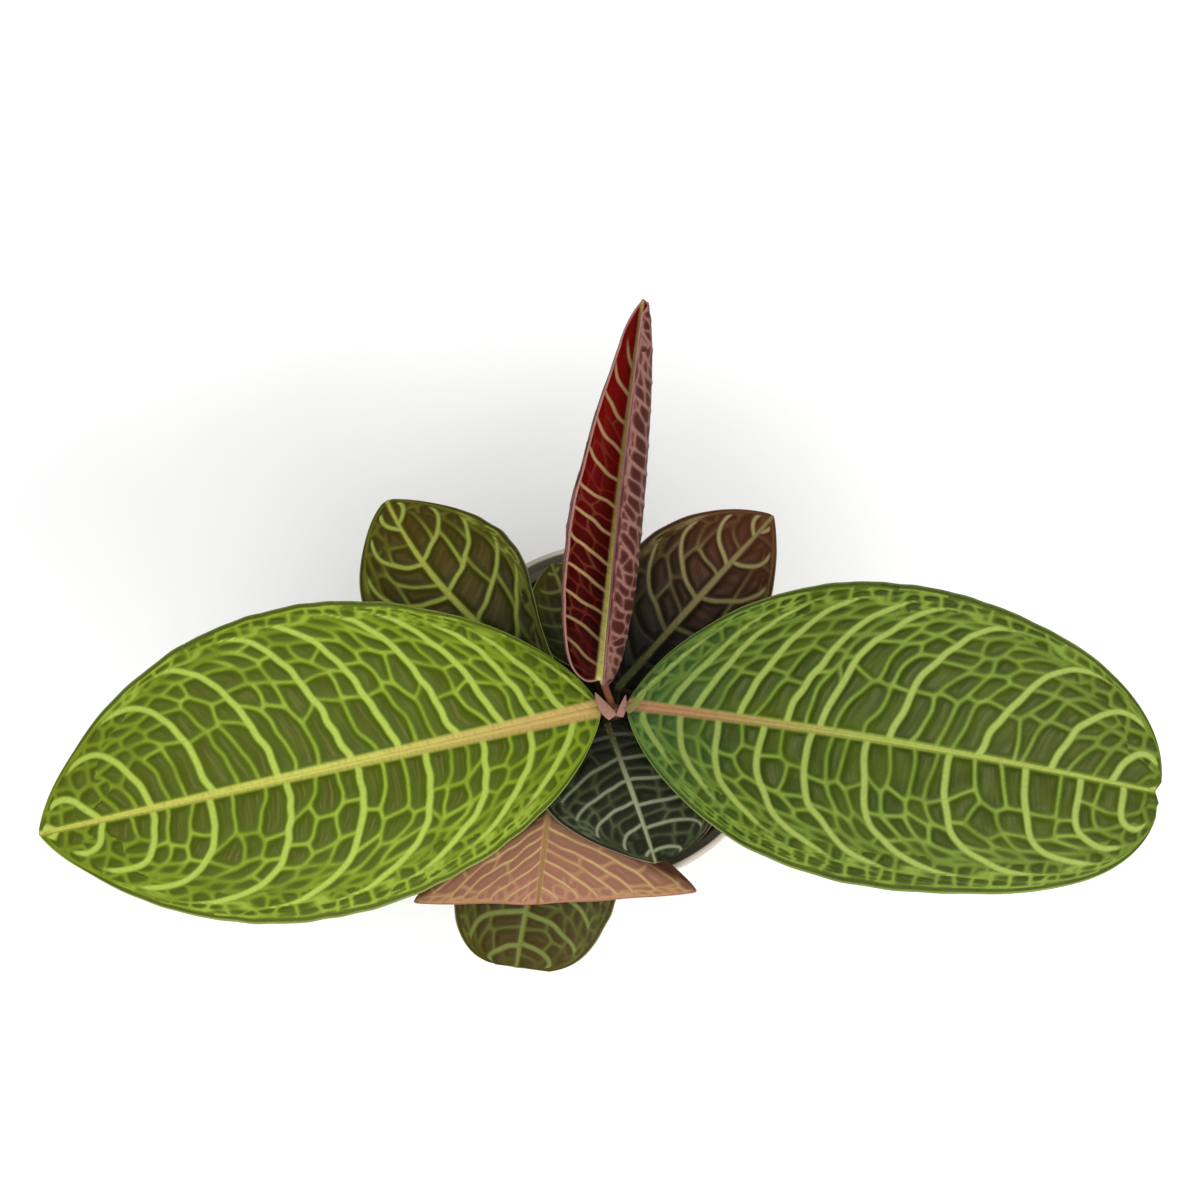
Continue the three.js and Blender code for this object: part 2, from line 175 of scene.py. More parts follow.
def add_object(name, data):
    """A new object in the scene that holds a mesh, camera or lamp."""
    thing = bpy.data.objects.new(name, data)
    bpy.context.scene.collection.objects.link(thing)
    return thing


def make_piece(name, shell, material, nodes, centre=False, weld=False):
    """Puts a shell into a mesh object, in metres. centre: its box's middle goes to the middle of the CAD
    node's box. weld: points in the same place become one, and faces are turned outwards."""
    points = shell.points
    if centre:
        low, high = (np.array(corner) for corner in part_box(nodes[0]))
        points = points + ((low + high) / 2 / MM - (points.min(0) + points.max(0)) / 2)
    mesh = bpy.data.meshes.new(name)
    corners = np.concatenate([shell.quads.ravel(), shell.tris.ravel()])
    sizes = np.concatenate([np.full(len(shell.quads), 4), np.full(len(shell.tris), 3)])
    mesh.vertices.add(len(points))
    mesh.vertices.foreach_set("co", (points * MM).ravel())
    mesh.loops.add(len(corners))
    mesh.loops.foreach_set("vertex_index", corners.astype(np.int32))
    mesh.polygons.add(len(sizes))
    mesh.polygons.foreach_set("loop_start", (np.cumsum(sizes) - sizes).astype(np.int32))
    mesh.polygons.foreach_set("use_smooth", np.ones(len(sizes), bool))
    mesh.update(calc_edges=True)
    for mark, values in shell.marks.items():
        mesh.attributes.new(mark, "FLOAT", "POINT").data.foreach_set("value", values.astype(np.float32))
    if weld:
        work = bmesh.new()
        work.from_mesh(mesh)
        bmesh.ops.remove_doubles(work, verts=work.verts, dist=WELD_MM * MM)
        bmesh.ops.recalc_face_normals(work, faces=work.faces)
        work.to_mesh(mesh)
        work.free()
    mesh.materials.append(material)
    piece = add_object(name, mesh)
    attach(piece, "root")
    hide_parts(*nodes)
    return piece


def tube(path, radii, sides, marks):
    """Round rod: circles of the given radii stand square to the path, their first point to the side of
    it."""
    along = unit(np.gradient(path, axis=0))
    first = unit(np.cross(np.array([0.13, 0.07, 1.0]), along))
    second = np.cross(first, along)
    turn = np.linspace(0, 2 * np.pi, sides, endpoint=False)
    spokes = np.cos(turn)[:, None] * first[:, None] + np.sin(turn)[:, None] * second[:, None]
    rings = path[:, None] + spokes * np.asarray(radii)[:, None, None]
    return loft(rings, {n: np.asarray(v).reshape(-1, 1) for n, v in marks.items()})


def bezier(a, b, c, d, count):
    """Cubic curve from a to d pulled by b and c."""
    t = np.linspace(0, 1, count)[:, None]
    return (1 - t) ** 3 * a + 3 * (1 - t) ** 2 * t * b + 3 * (1 - t) * t**2 * c + t**3 * d


# ---- the shape of a blade ----
def half_width(side, u):
    """width (4t(1-t))^power with t = u^k so that the widest place is where it is asked for, power going
    from base to tip, and a small rounded stub at either end."""
    t = u ** (np.log(0.5) / np.log(side.widest))
    power = lerp(side.base, side.tip, smoothstep(u))
    body = side.width * np.maximum(4 * t * (1 - t), 0) ** power
    return np.hypot(body, lerp(BASE_HALF_WIDTH, TIP_HALF_WIDTH, u))


def midrib(leaf, u):
    """The midrib's points and directions: heading turns by swing, pitch starts at rise and eases down by
    droop, and equal steps are laid end to end. Across is level, up is square to both."""
    middle = (np.arange(MIDRIB_STEPS) + 0.5) / MIDRIB_STEPS

    def heading(share):
        yaw = np.radians(leaf["heading"] + leaf["swing"] * share)
        pitch = np.radians(leaf["rise"] - leaf["droop"] * smoothstep(share))
        return np.stack([np.cos(pitch) * np.cos(yaw), np.cos(pitch) * np.sin(yaw), np.sin(pitch)], -1), yaw

    steps, _ = heading(middle)
    laid = np.vstack([np.zeros(3), np.cumsum(steps, 0)]) * leaf["length"] / MIDRIB_STEPS + leaf["start"]
    share = np.linspace(0, 1, MIDRIB_STEPS + 1)
    points = np.stack([np.interp(u, share, laid[:, axis]) for axis in range(3)], -1)
    along, yaw = heading(u)
    across = np.stack([-np.sin(yaw), np.cos(yaw), 0 * yaw], -1)
    return points, along, across, np.cross(along, across)


def blade_width(leaf, side, sign, u):
    """Half-width along the midrib: the outline's own with a slight wobble, or for a creased blade the
    length of its straight lines."""
    if leaf["half"] is swept_half:
        wobble = leaf["wobble"] * ripple(u * leaf["length"], 0, 9, leaf["seed"] + 20 + sign)
        return half_width(side, u) + wobble * np.clip(4 * u * (1 - u), 0, 1)
    lines = creased_half(leaf, side, sign, u, np.array([0.0, 1.0]))
    return np.linalg.norm(lines[:, 1] - lines[:, 0], axis=-1)


def swept_half(leaf, side, sign, u, v):
    """Half a blade's middle surface: at each place along the midrib a line runs out whose slope is
    fold + roll v^power, for a length of the half-width there."""
    points, _, across, up = midrib(leaf, u)
    width = blade_width(leaf, side, sign, u)
    roll = np.radians(side.curl) * (np.minimum(1, width / ROLL_FADE) if side.curl > 0 else np.ones_like(u))
    slope = np.radians(side.fold) + roll[:, None] * v**side.power
    out = running_sum(np.cos(slope), v) * width[:, None]
    rise = running_sum(np.sin(slope), v) * width[:, None]
    return points[:, None] + sign * out[..., None] * across[:, None] + rise[..., None] * up[:, None]


def bent_line(first, bend, last, u, at, soft):
    """Two straight stretches from first by bend to last, the turn at share `at` rounded over about
    `soft`."""
    past = (u - at) / (1 - at)
    second = (past + np.hypot(past, soft)) / 2
    early = u / at - second * (1 - at) / at
    first, bend, last = (np.asarray(p, float) for p in (first, bend, last))
    return first + (bend - first) * early[:, None] + (last - bend) * second[:, None]


def creased_half(leaf, side, sign, u, v):
    """Half of a creased blade: straight lines from the bent midrib to the bent margin."""
    inner = bent_line(leaf["start"], leaf["crest"], leaf["tip"], u, leaf["crest_at"], leaf["crest_soft"])
    corner = leaf["left_corner"] if sign > 0 else leaf["right_corner"]
    outer = bent_line(leaf["start"], corner, leaf["tip"], u, leaf["crest_at"], leaf["corner_soft"])
    outward = unit(np.cross([0, 0, 1.0], unit(np.subtract(leaf["tip"], leaf["start"])))) * sign
    outer = outer + outward * lerp(BASE_HALF_WIDTH, TIP_HALF_WIDTH, u)[:, None]
    return inner[:, None] * (1 - v)[:, None] + outer[:, None] * v[:, None]


# ---- the net of veins ----
def gradients(field, flat):
    """Slope of a field on the blade laid flat, per mm along the midrib and per mm across it. A point at
    share v of the half-width lies v width from the midrib."""
    by_u = np.gradient(field, flat.u, axis=0)
    by_v = np.gradient(field, flat.v, axis=1)
    widening = np.gradient(flat.width, flat.u)[:, None]
    across = by_v / flat.width[:, None]
    along = (by_u - by_v * flat.v * widening / flat.width[:, None]) / flat.length
    return along, across


def cell_edges(row, column, columns, strip, row_slope, column_slope, seed):
    """Distance in mm to the nearest wall of a net of cells, and how strong that wall is. Each strip holds
    rows and columns of cells with one drawn centre in each; a wall lies halfway between two neighbouring
    centres, and the strip's edges mirror the centres so that walls run along them. The distances to a
    cell's walls are joined as -round ln(sum of e^(-distance / round)), which rounds its corners."""
    draw = np.random.default_rng(seed)
    table = draw.uniform(CENTRE_LOW, CENTRE_HIGH, (DRAWS, DRAWS, COLUMN_DRAWS, 2))
    weights = draw.uniform(0, 1, (DRAWS, DRAWS, COLUMN_DRAWS))
    base_row, base_column = np.floor(row).astype(int), np.floor(column).astype(int)

    def centre(step_row, step_column):
        r, c = base_row + step_row, base_column + step_column
        r_real = np.where(r < 0, -1 - r, r)
        c_real = np.where(c < 0, -1 - c, np.where(c >= columns, 2 * columns - 1 - c, c))
        drawn = (strip % DRAWS, r_real % DRAWS, c_real % COLUMN_DRAWS)
        place_r = r_real + table[drawn][..., 0]
        place_c = c_real + table[drawn][..., 1]
        place_r = np.where(r < 0, -place_r, place_r)
        place_c = np.where(c < 0, -place_c, np.where(c >= columns, 2 * columns - place_c, place_c))
        return place_r, place_c, weights[drawn]

    centres = [centre(i, j) for i in (-2, -1, 0, 1, 2) for j in (-1, 0, 1)]
    near = np.full(row.shape, np.inf)
    home_r, home_c, home_w = row * 0, row * 0, row * 0
    for r, c, w in centres:
        gap = (r - row) ** 2 + (c - column) ** 2
        closer = gap < near
        near = np.where(closer, gap, near)
        home_r = np.where(closer, r, home_r)
        home_c = np.where(closer, c, home_c)
        home_w = np.where(closer, w, home_w)
    nearest, strength, crowd = np.full(row.shape, FAR), row * 0, row * 0
    for r, c, w in centres:
        dr, dc = r - home_r, c - home_c
        apart = np.hypot(dr, dc)
        own = apart < 1e-6
        apart = np.where(own, 1, apart)
        dr, dc = dr / apart, dc / apart
        reach = ((r + home_r) / 2 - row) * dr + ((c + home_c) / 2 - column) * dc
        slope = np.hypot(dr * row_slope[0] + dc * column_slope[0], dr * row_slope[1] + dc * column_slope[1])
        distance = np.where(own, FAR, reach / np.maximum(slope, 1e-9))
        closer = distance < nearest
        nearest = np.where(closer, distance, nearest)
        strength = np.where(closer, np.sqrt(w * home_w), strength)
        crowd = crowd + np.exp(-distance / WALL_ROUND)
    return np.maximum(-WALL_ROUND * np.log(np.maximum(crowd, 1e-30)), 0), strength


def side_vein_phase(veins, flat, seed):
    """How many side veins have been passed at each point. A side vein that starts at s runs where s = u
    + reach ln(1 - (v / rim)^bend), with a slight sway in two sizes. Returns the phase, and the places on
    the midrib that it counts, which run on past both ends of the blade."""
    sway = ripple(flat.x, flat.y, 22, seed) * 0.9 + ripple(flat.x, flat.y, 8, seed + 1) * 0.35
    inside = np.minimum(flat.across / veins.rim, NEARLY_ALL)
    source = flat.along + sway / flat.length + veins.reach * np.log(1 - inside**veins.bend)
    stations = np.asarray(veins.stations, float)
    gap = np.diff(stations).mean()
    before = stations[0] - gap * np.arange(STATIONS_BEFORE, 0, -1)
    after = stations[-1] + gap * 0.8 * np.arange(1, STATIONS_AFTER + 1)
    counted = np.concatenate([before, stations, after])
    return np.interp(source, counted, np.arange(len(counted))), counted


def strip_cells(veins, flat, phase, counted, seed):
    """The cells between side veins, long beside the midrib and shorter outwards. Their walls fade where
    the cells are squeezed, and then give way to an even net. Returns the distance to the nearest wall,
    its strength, how much of it shows, and a number that streaks the cells lengthwise."""
    strip = np.floor(phase).astype(int)
    share = phase - strip
    counts = np.clip(np.round(np.diff(counted) * flat.length / veins.cell), 1, 5).astype(int)
    columns = counts[np.clip(strip, 0, len(counts) - 1)]
    flow = np.minimum(flat.v / veins.rim, NEARLY_ALL)
    sweep = veins.reach * flat.length * np.gradient(-np.log(1 - flow**veins.bend), flat.v)
    cell_length = lerp(veins.long, veins.short, smoothstep(flat.v / 0.6))
    row = running_sum(np.hypot(sweep, flat.width.max()) / cell_length, flat.v)[None, :] + 0 * flat.along
    row = np.abs(row + 0.14 * ripple(flat.x, flat.y, veins.cell * 3, seed + 7) * smoothstep(row))
    stretch = 0.8 + 0.45 * np.random.default_rng(seed + 2).uniform(0, 1, DRAWS)[strip % DRAWS]
    row_slope = [part * stretch for part in gradients(row, flat)]
    bow = 0.3 * ripple(flat.x, flat.y, veins.cell * 3.5, seed + 8) * share * (1 - share)
    column = np.clip(share + bow, 0, 0.9999) * columns
    column_slope = [part * columns for part in gradients(phase + bow, flat)]
    net, strength = cell_edges(row * stretch, column, columns, strip, row_slope, column_slope, seed + 3)
    room_across = 1 / np.maximum(np.hypot(*column_slope), 1e-6) / veins.cell
    room_along = 1 / np.maximum(np.hypot(*row_slope), 1e-6) / cell_length
    room = np.minimum(room_across, room_along)
    even_x, even_y = flat.x / veins.small + EVEN_SHIFT, flat.y / veins.small + EVEN_SHIFT
    one, none = 1 / veins.small + 0 * flat.x, 0 * flat.x
    even, even_strength = cell_edges(even_x, even_y, ENDLESS, 0 * strip, (one, none), (none, one), seed + 9)
    crowded = room < CROWDED
    show = np.where(crowded, 0.4, smoothstep((room - 0.3) / 0.4))
    streak = ripple(row * 0.7, share * columns * 6, 1.0, seed + 6)
    return np.where(crowded, even, net), np.where(crowded, even_strength, strength), show, streak


def margin_cells(leaf, veins, flat, phase, seed):
    """The small cells along the margin, in one or more rows between a scalloped border and the rim band.
    Returns the border as a share of the half-width, the room outside it in mm, the distance to the nearest
    wall and its strength."""
    scallop = 0.02 * np.sin(2 * np.pi * phase) + 0.012 * ripple(flat.x, flat.y, 15, seed + 4)
    border = veins.loop + scallop
    width = flat.width[:, None]
    room = np.maximum((1 - border) * width - leaf["rim_band"], 0.5)
    edge_length = running_sum(np.hypot(flat.length, np.gradient(flat.width, flat.u))[None, :], flat.u)[0]
    row = (edge_length / veins.small)[:, None] + 0 * flat.across
    ranks = max(1, round(float(np.median(room)) / veins.small))
    column = np.clip((flat.across - border) * width / room, 0, 0.9999) * ranks
    column_slope = gradients((flat.across - veins.loop) * width / room * ranks, flat)
    net, strength = cell_edges(
        row + MARGIN_SHIFT, column, ranks, np.full(row.shape, MARGIN_STRIP), gradients(row, flat),
        column_slope, seed + 5
    )
    return border, room, net, strength


def line(distance, half_width):
    """Bell-shaped strength of a vein: e^(-(distance / half_width)^2)."""
    return np.exp(-((distance / half_width) ** 2))


def venation(leaf, veins, width, u, v, seed):
    """The veins of one side: side veins, the net between them and the small cells at the margin. Returns
    how strongly side veins and net show (vein, net), the distance to the nearest vein in mm (depth) and
    the lengthwise streaks of the cells (streak)."""
    along, across = np.meshgrid(u, v, indexing="ij")
    length, band = leaf["length"], leaf["rim_band"]
    flat = Flat(u, v, width, length, along, across, along * length, across * width[:, None])
    phase, counted = side_vein_phase(veins, flat, seed)
    inner, inner_strength, inner_show, streak = strip_cells(veins, flat, phase, counted, seed)
    border, room, outer, outer_strength = margin_cells(leaf, veins, flat, phase, seed)
    steep = np.maximum(np.hypot(*gradients(phase, flat)), 1e-6)
    share = phase - np.floor(phase)
    to_side_vein = np.minimum(share, 1 - share) / steep
    to_margin = (1 - across) * width[:, None]
    to_border = np.abs(across - border) * width[:, None]
    to_band = np.abs(to_margin - band)
    in_band = to_margin < band
    in_edge = across > border
    edge_opens = np.where(in_edge, smoothstep(room / 2), 1)

    thinning = np.clip(1.2 - across / veins.loop * 0.45, 0.6, 1) * leaf["side_vein"]
    inside = smoothstep((to_margin - band) / 2.0) * np.where(in_edge, 0.0, 1.0)
    apart = smoothstep((1 / steep - 1.8) / 3.0)
    side_line = line(to_side_vein, thinning) * inside * apart

    net = np.where(in_band, 9.0, np.where(in_edge, outer, inner))
    strength = 0.45 + 0.55 * np.where(in_edge, outer_strength, inner_strength)
    strength = strength * np.where(in_edge, 1, inner_show) * edge_opens
    net_line = line(net, leaf["small_vein"] * (0.75 + 0.5 * strength)) * strength * leaf["small_show"]
    ends = smoothstep(along / 0.03) * smoothstep((1 - along) / 0.02)
    border_line = line(to_border, leaf["side_vein"] * 0.6) * 0.65 * smoothstep(room / 3) * ends
    band_line = line(to_band, leaf["small_vein"] * 1.1) * 0.4 * leaf["small_show"] * ends

    off_side = np.where(in_edge, FAR, np.maximum(to_side_vein - thinning * 0.4, 0)) + 4 * (1 - apart)
    off_net = net + 4 * (1 - edge_opens)
    depth = np.minimum.reduce([off_side, off_net, to_border, to_band + np.where(in_band, 1.2, 0)])
    return {
        "vein": side_line, "net": np.maximum.reduce([net_line, border_line, band_line]),
        "depth": np.clip(depth, 0, 6), "streak": streak,
    }


# ---- a whole leaf ----
def blade_face(leaf, u, t, under):
    """One face of a blade on the grid (u, t), t from -1 at the right margin to 1 at the left one: the
    middle surface, quilted up between the veins, moved half the thickness along its normal and thinned
    to the edge."""
    halves, fields = [], []
    for side, veins, sign, v in (
        (leaf["right"], leaf["right_veins"], -1, -t[t < 0][::-1]),
        (leaf["left"], leaf["left_veins"], 1, t[t > 0]),
    ):
        v_all = np.concatenate([[0], v])
        half = leaf["half"](leaf, side, sign, u, v_all)
        width = blade_width(leaf, side, sign, u)
        marks = venation(leaf, veins, width, u, v_all, leaf["seed"] + (50 if sign > 0 else 0))
        marks["away"] = v_all[None, :] * width[:, None]
        marks["to_margin"] = (1 - v_all[None, :]) * width[:, None]
        marks["v"] = v_all[None, :] + 0 * marks["away"]
        order = slice(None, 0, -1) if sign < 0 else slice(None)
        halves.append(half[:, order])
        fields.append({n: m[:, order] for n, m in marks.items()})
    sheet = np.concatenate(halves, 1)
    marks = {n: np.concatenate([fields[0][n], fields[1][n]], 1) for n in fields[0]}
    away, to_margin = marks["away"], marks["to_margin"]

    pull = leaf["notch"] * smoothstep((u - NOTCH_FROM) / (1 - NOTCH_FROM))[:, None]
    pull = pull * line(away, NOTCH_RADIUS)
    midline = fields[0]["v"].shape[1]
    forward = unit(np.gradient(sheet, axis=0)[:, midline])[:, None]
    sheet = sheet - forward * pull[..., None]
    normal = unit(np.cross(np.gradient(sheet, axis=0), np.gradient(sheet, axis=1)))

    rib_width = lerp(leaf["rib"][0], leaf["rib"][1], u**0.8)[:, None]
    marks["rib"] = 1 - smoothstep((away / rib_width - 0.7) / 0.6)
    marks["depth"] = np.minimum(marks["depth"], np.maximum(away - rib_width * 0.8, 0))
    dome = (1 - line(marks["depth"], DOME_RISE)) * smoothstep(to_margin / DOME_EDGE)
    wave = ripple(sheet[..., 0], sheet[..., 1], 26, leaf["seed"] + 9) * leaf["ruffle"] * marks["v"] ** 3
    lift = leaf["bulge"] * dome * (UNDER_DOME if under else 1.0) + wave
    taper = np.sqrt(np.clip(1 - (1 - np.minimum(to_margin, BLADE_EDGE) / BLADE_EDGE) ** 2, 0, 1))
    skin = BLADE_HALF_THICKNESS * taper
    groove = RIB_GROOVE * marks["rib"] * np.cos(np.clip(away / rib_width, 0, 1) * np.pi / 2)
    lift = lift - skin - marks["vein"] * VEIN_RIDGE if under else lift + skin - groove
    shown = {name: marks[name] for name in ("vein", "net", "depth", "streak", "rib")}
    shown["rim"] = 1 - smoothstep((to_margin - 0.25) / 0.45)
    shown["under"] = np.full(to_margin.shape, float(under))
    shown["along"] = u[:, None] + 0 * to_margin
    return sheet + normal * lift[..., None], shown


def stalk(leaf, u_end):
    """The leaf's stalk and midrib as one tapering rod: a curve from the stem to the blade's base, then on
    under the blade, as thick as the rib and getting thinner to the tip."""
    start = np.asarray(leaf["start"], float)
    axis = np.array([*STEM_AXIS, leaf["node"]])
    outward = unit((start - axis) * [1, 1, 0])
    reach = np.linalg.norm((start - axis)[:2])
    stem_share = (leaf["node"] - STEM_FOOT) / (STEM_TOP - STEM_FOOT)
    stem_radius = lerp(STEM_FOOT_RADIUS, STEM_TOP_RADIUS, stem_share)
    from_top = leaf["node"] == STEM_TOP
    foot = axis + ([0, 0, STALK_GAP] if from_top else outward * (stem_radius + STALK_GAP))
    lead = np.array([0, 0, 5.0]) if from_top else outward * max(2.8, 0.35 * reach)
    under = np.linspace(0.015, u_end, UNDER_STEPS)
    if leaf["half"] is swept_half:
        rib, along, _, up = midrib(leaf, under)
    else:
        rib = creased_half(leaf, None, 1, under, np.array([0.0, 1.0]))[:, 0]
        along = unit(np.gradient(rib, axis=0))
        up = np.broadcast_to([0, 0, 1.0], rib.shape)
    arrive = start + (along[0] * -4 if reach > 10 else 0) + [0, 0, -3]
    radius = leaf["ridge"] * (1 - 0.75 * under)
    free = bezier(foot, foot + lead, arrive, start - [0, 0, leaf["ridge"] * 0.5], STALK_STEPS + 1)[:-1]
    path = np.vstack([free, rib - up * (0.75 * radius)[:, None]])
    radii = np.concatenate([np.full(STALK_STEPS, leaf["ridge"]), radius])
    for _ in range(STALK_SMOOTHINGS):
        path[1:-1] = path[:-2] * 0.25 + path[1:-1] * 0.5 + path[2:] * 0.25
    places = np.concatenate([np.zeros(STALK_STEPS), under])
    bare = 1 - smoothstep((np.arange(len(places)) - STALK_STEPS + 7) / 9)
    marks = {"rib": 0 * places + 1, "under": 0 * places + 0.5, "along": places, "stalk": bare}
    return tube(path, radii, ROD_SIDES, marks)


def grow_leaf(leaf):
    """Blade and stalk as one piece. A section of the blade runs over the top and back underneath."""
    u = np.linspace(0, 1, int(leaf["length"] / leaf["fine"]))
    sides = ((leaf["left"], 1), (leaf["right"], -1))
    widths = sum(blade_width(leaf, side, sign, u).max() for side, sign in sides)
    top_count = int(widths / leaf["fine"] / 1.2) // 2 * 2 + 1
    low_count = int(widths / leaf["fine_under"]) // 2 * 2 + 1
    top, top_marks = blade_face(leaf, u, np.linspace(-1, 1, top_count), False)
    low, low_marks = blade_face(leaf, u, np.linspace(-1, 1, low_count), True)
    rings = np.concatenate([top, low[:, -2:0:-1]], 1)
    marks = {n: np.concatenate([top_marks[n], low_marks[n][:, -2:0:-1]], 1) for n in top_marks}
    return gather([loft(rings, marks), stalk(leaf, leaf["rib_end"])])


# ---- materials ----
def colour(text):
    """sRGB hex to linear red, green, blue and an opaque alpha."""
    parts = np.array([int(text[i:i + 2], 16) for i in (1, 3, 5)]) / 255
    linear = np.where(parts <= 0.04045, parts / 12.92, ((parts + 0.055) / 1.055) ** 2.4)
    return (*linear.tolist(), 1.0)


def put(tree, kind, inputs, **settings):
    """Adds one node, sets its properties, and sets or links its inputs by name or number. A text is a hex
    colour."""
    node = tree.nodes.new(kind)
    for name, value in settings.items():
        setattr(node, name, value)
    for name, value in inputs.items():
        if isinstance(value, bpy.types.NodeSocket):
            tree.links.new(value, node.inputs[name])
        else:
            node.inputs[name].default_value = colour(value) if isinstance(value, str) else value
    return node


def start_material(name):
    """An empty node material: the material, its tree, and object coordinates in metres."""
    material = bpy.data.materials.new(name)
    material.use_nodes = True
    material.node_tree.nodes.clear()
    return material, material.node_tree, put(material.node_tree, "ShaderNodeTexCoord", {}).outputs["Object"]


def close_material(tree, pattern, strength, depth_mm, sockets):
    """The surface shader with the given sockets, dented by a pattern to a depth in mm."""
    bump = put(tree, "ShaderNodeBump", {"Height": pattern, "Strength": strength, "Distance": depth_mm * MM})
    skin = put(tree, "ShaderNodeBsdfPrincipled", {**sockets, "Normal": bump.outputs["Normal"]})
    put(tree, "ShaderNodeOutputMaterial", {"Surface": skin.outputs["BSDF"]})


MIX_FACTOR, MIX_A, MIX_B, MIX_RESULT = 0, 6, 7, 2
LEAF_MARKS = ("vein", "net", "depth", "streak", "rib", "rim", "under", "along", "stalk")


def layered(tree, ground, mark, layers):
    """Colours laid over a ground one after another. A layer names a mark, the values of the mark between
    which it comes in, its share there and its colour."""
    for name, start, end, share, tint in layers:
        inputs = {"Value": mark[name], "From Min": start, "From Max": end, "To Max": share}
        amount = put(tree, "ShaderNodeMapRange", inputs, interpolation_type="SMOOTHSTEP").outputs["Result"]
        inputs = {MIX_FACTOR: amount, MIX_A: ground, MIX_B: tint}
        ground = put(tree, "ShaderNodeMix", inputs, data_type="RGBA").outputs[MIX_RESULT]
    return ground


def leaf_material(name, look):
    """Living leaf: a waxy skin over green tissue. The skin gives a soft satin gloss; the tissue is
    palest over the veins, deepest beside them and browner in the middle of each cell, whose pale streaks
    are painted sheen. A painted shade darkens the top towards the base. The underside is its own colour."""
    material, tree, place = start_material(name)
    mark = {n: put(tree, "ShaderNodeAttribute", {}, attribute_name=n).outputs["Fac"] for n in LEAF_MARKS}
    for pattern, size_mm, detail in (("blotch", 9, 3.0), ("grain", 0.9, 2.0)):
        inputs = {"Vector": place, "Scale": 1 / (size_mm * MM), "Detail": detail}
        mark[pattern] = put(tree, "ShaderNodeTexNoise", inputs).outputs["Fac"]
    wall = look["under_mm"]
    # painted sheen: pale streaks across the middle of each cell stand in for the satin highlights of the
    # waxy skin
    cell_middle = layered(tree, look["centre"], mark, [("streak", -0.6, 0.9, 1.0, look["centre_sheen"])])
    rib = layered(tree, look["rib_base"], mark, [
        ("along", 0.05, look["rib_turn"], 1.0, look["rib_tip"]),
        ("streak", -0.2, 0.8, 0.35, look["rib_line"]),
    ])
    top = layered(tree, look["halo"], mark, [
        ("depth", 0.0, look["halo_mm"], 1.0, look["deep"]),
        ("depth", 1.0, 2.6, look["centre_show"], cell_middle),
        ("blotch", 0.4, 0.65, 0.4, look["blotch"]),
        ("along", *look["tip_from_to"], look["tip_show"], look["tip_tint"]),
        ("net", 0.1, 0.9, look["net_show"], look["net"]),
        ("vein", 0.12, 0.85, look["vein_show"], look["vein"]),
        # painted shade: the last layer darkens the top towards the leaf's base, where the leaves above
        # shade the middle of the plant
        ("along", *look["base_shade_from_to"][::-1], look["base_shade_show"], look["base_shade"]),
    ])
    below = layered(tree, look["under_vein"], mark, [
        ("depth", 0.0, wall * 0.45, 1.0, look["under"]),
        ("depth", wall * 0.45, wall, 1.0, look["under_cell"]),
        ("vein", 0.12, 0.85, look["vein_show"], look["under_vein"]),
    ])
    body = top
    for part, tint in (("under", below), ("rib", rib), ("stalk", look["stalk"])):
        inputs = {MIX_FACTOR: mark[part], MIX_A: body, MIX_B: tint}
        body = put(tree, "ShaderNodeMix", inputs, data_type="RGBA").outputs[MIX_RESULT]
    body = layered(tree, body, mark, [
        ("rim", 0.1, 0.9, look["rim_show"], look["rim"]),
        ("grain", 0.35, 0.7, 0.12, look["deep"]),
    ])
    inputs = {"Value": mark["grain"], "From Min": 0.3, "From Max": 0.7,
              "To Min": look["rough"] - 0.05, "To Max": look["rough"] + 0.07}
    rough = put(tree, "ShaderNodeMapRange", inputs, interpolation_type="SMOOTHSTEP").outputs["Result"]
    sockets = {"Base Color": body, "Roughness": rough, "Specular IOR Level": look["gloss"]}
    close_material(tree, mark["grain"], 0.35, 0.15, sockets)
    return material


# What a leaf's palette says. halo, deep: beside the veins and halo_mm away from them; centre,
# centre_sheen, centre_show: middle of a cell, its pale streaks, which are painted sheen, and how much
# they show; blotch: cloudy patches; tip_*: a tint that comes in between two places along the leaf, and
# its share; base_shade*: the same for a painted shade towards the base, where the leaves above shade the
# middle of the plant; net, vein: small and side veins; rib_*: the midrib from base to tip, turning by
# rib_turn, and its fine lines; under*: the underside, under_mm being the width of its pale lines; rim:
# the margin; rough, gloss: roughness and specular level of the waxy skin.
# base_shade: a light painted shade towards the base, stronger on the right leaf
GREEN = dict(
    halo="#72841a", halo_mm=1.1, deep="#40500a", centre="#434208", centre_sheen="#5e602c",
    centre_show=0.75, blotch="#4c5a0a", tip_tint="#54500e", tip_from_to=(0.3, 1.0), tip_show=0.15,
    net="#8ca236", net_show=0.95, vein="#9cae48", vein_show=1.0, base_shade="#2f4a0c",
    base_shade_from_to=(0.0, 0.3), base_shade_show=0.15, rib_base="#b09458", rib_tip="#aeae50", rib_turn=0.55,
    rib_line="#8c7038", stalk="#6c4c30", under="#708c40", under_vein="#9aac68", under_cell="#64803a",
    under_mm=2.2, rim="#92a248", rim_show=0.75, rough=0.46, gloss=0.09,
)
GREEN_RIGHT = dict(
    GREEN, rib_base="#9c7452", rib_tip="#93a048", deep="#2f3f06", centre="#393f12",
    centre_sheen="#525a34", halo="#627828", vein="#90a04c", net="#7c9238", base_shade="#345838",
    base_shade_show=0.4,
)
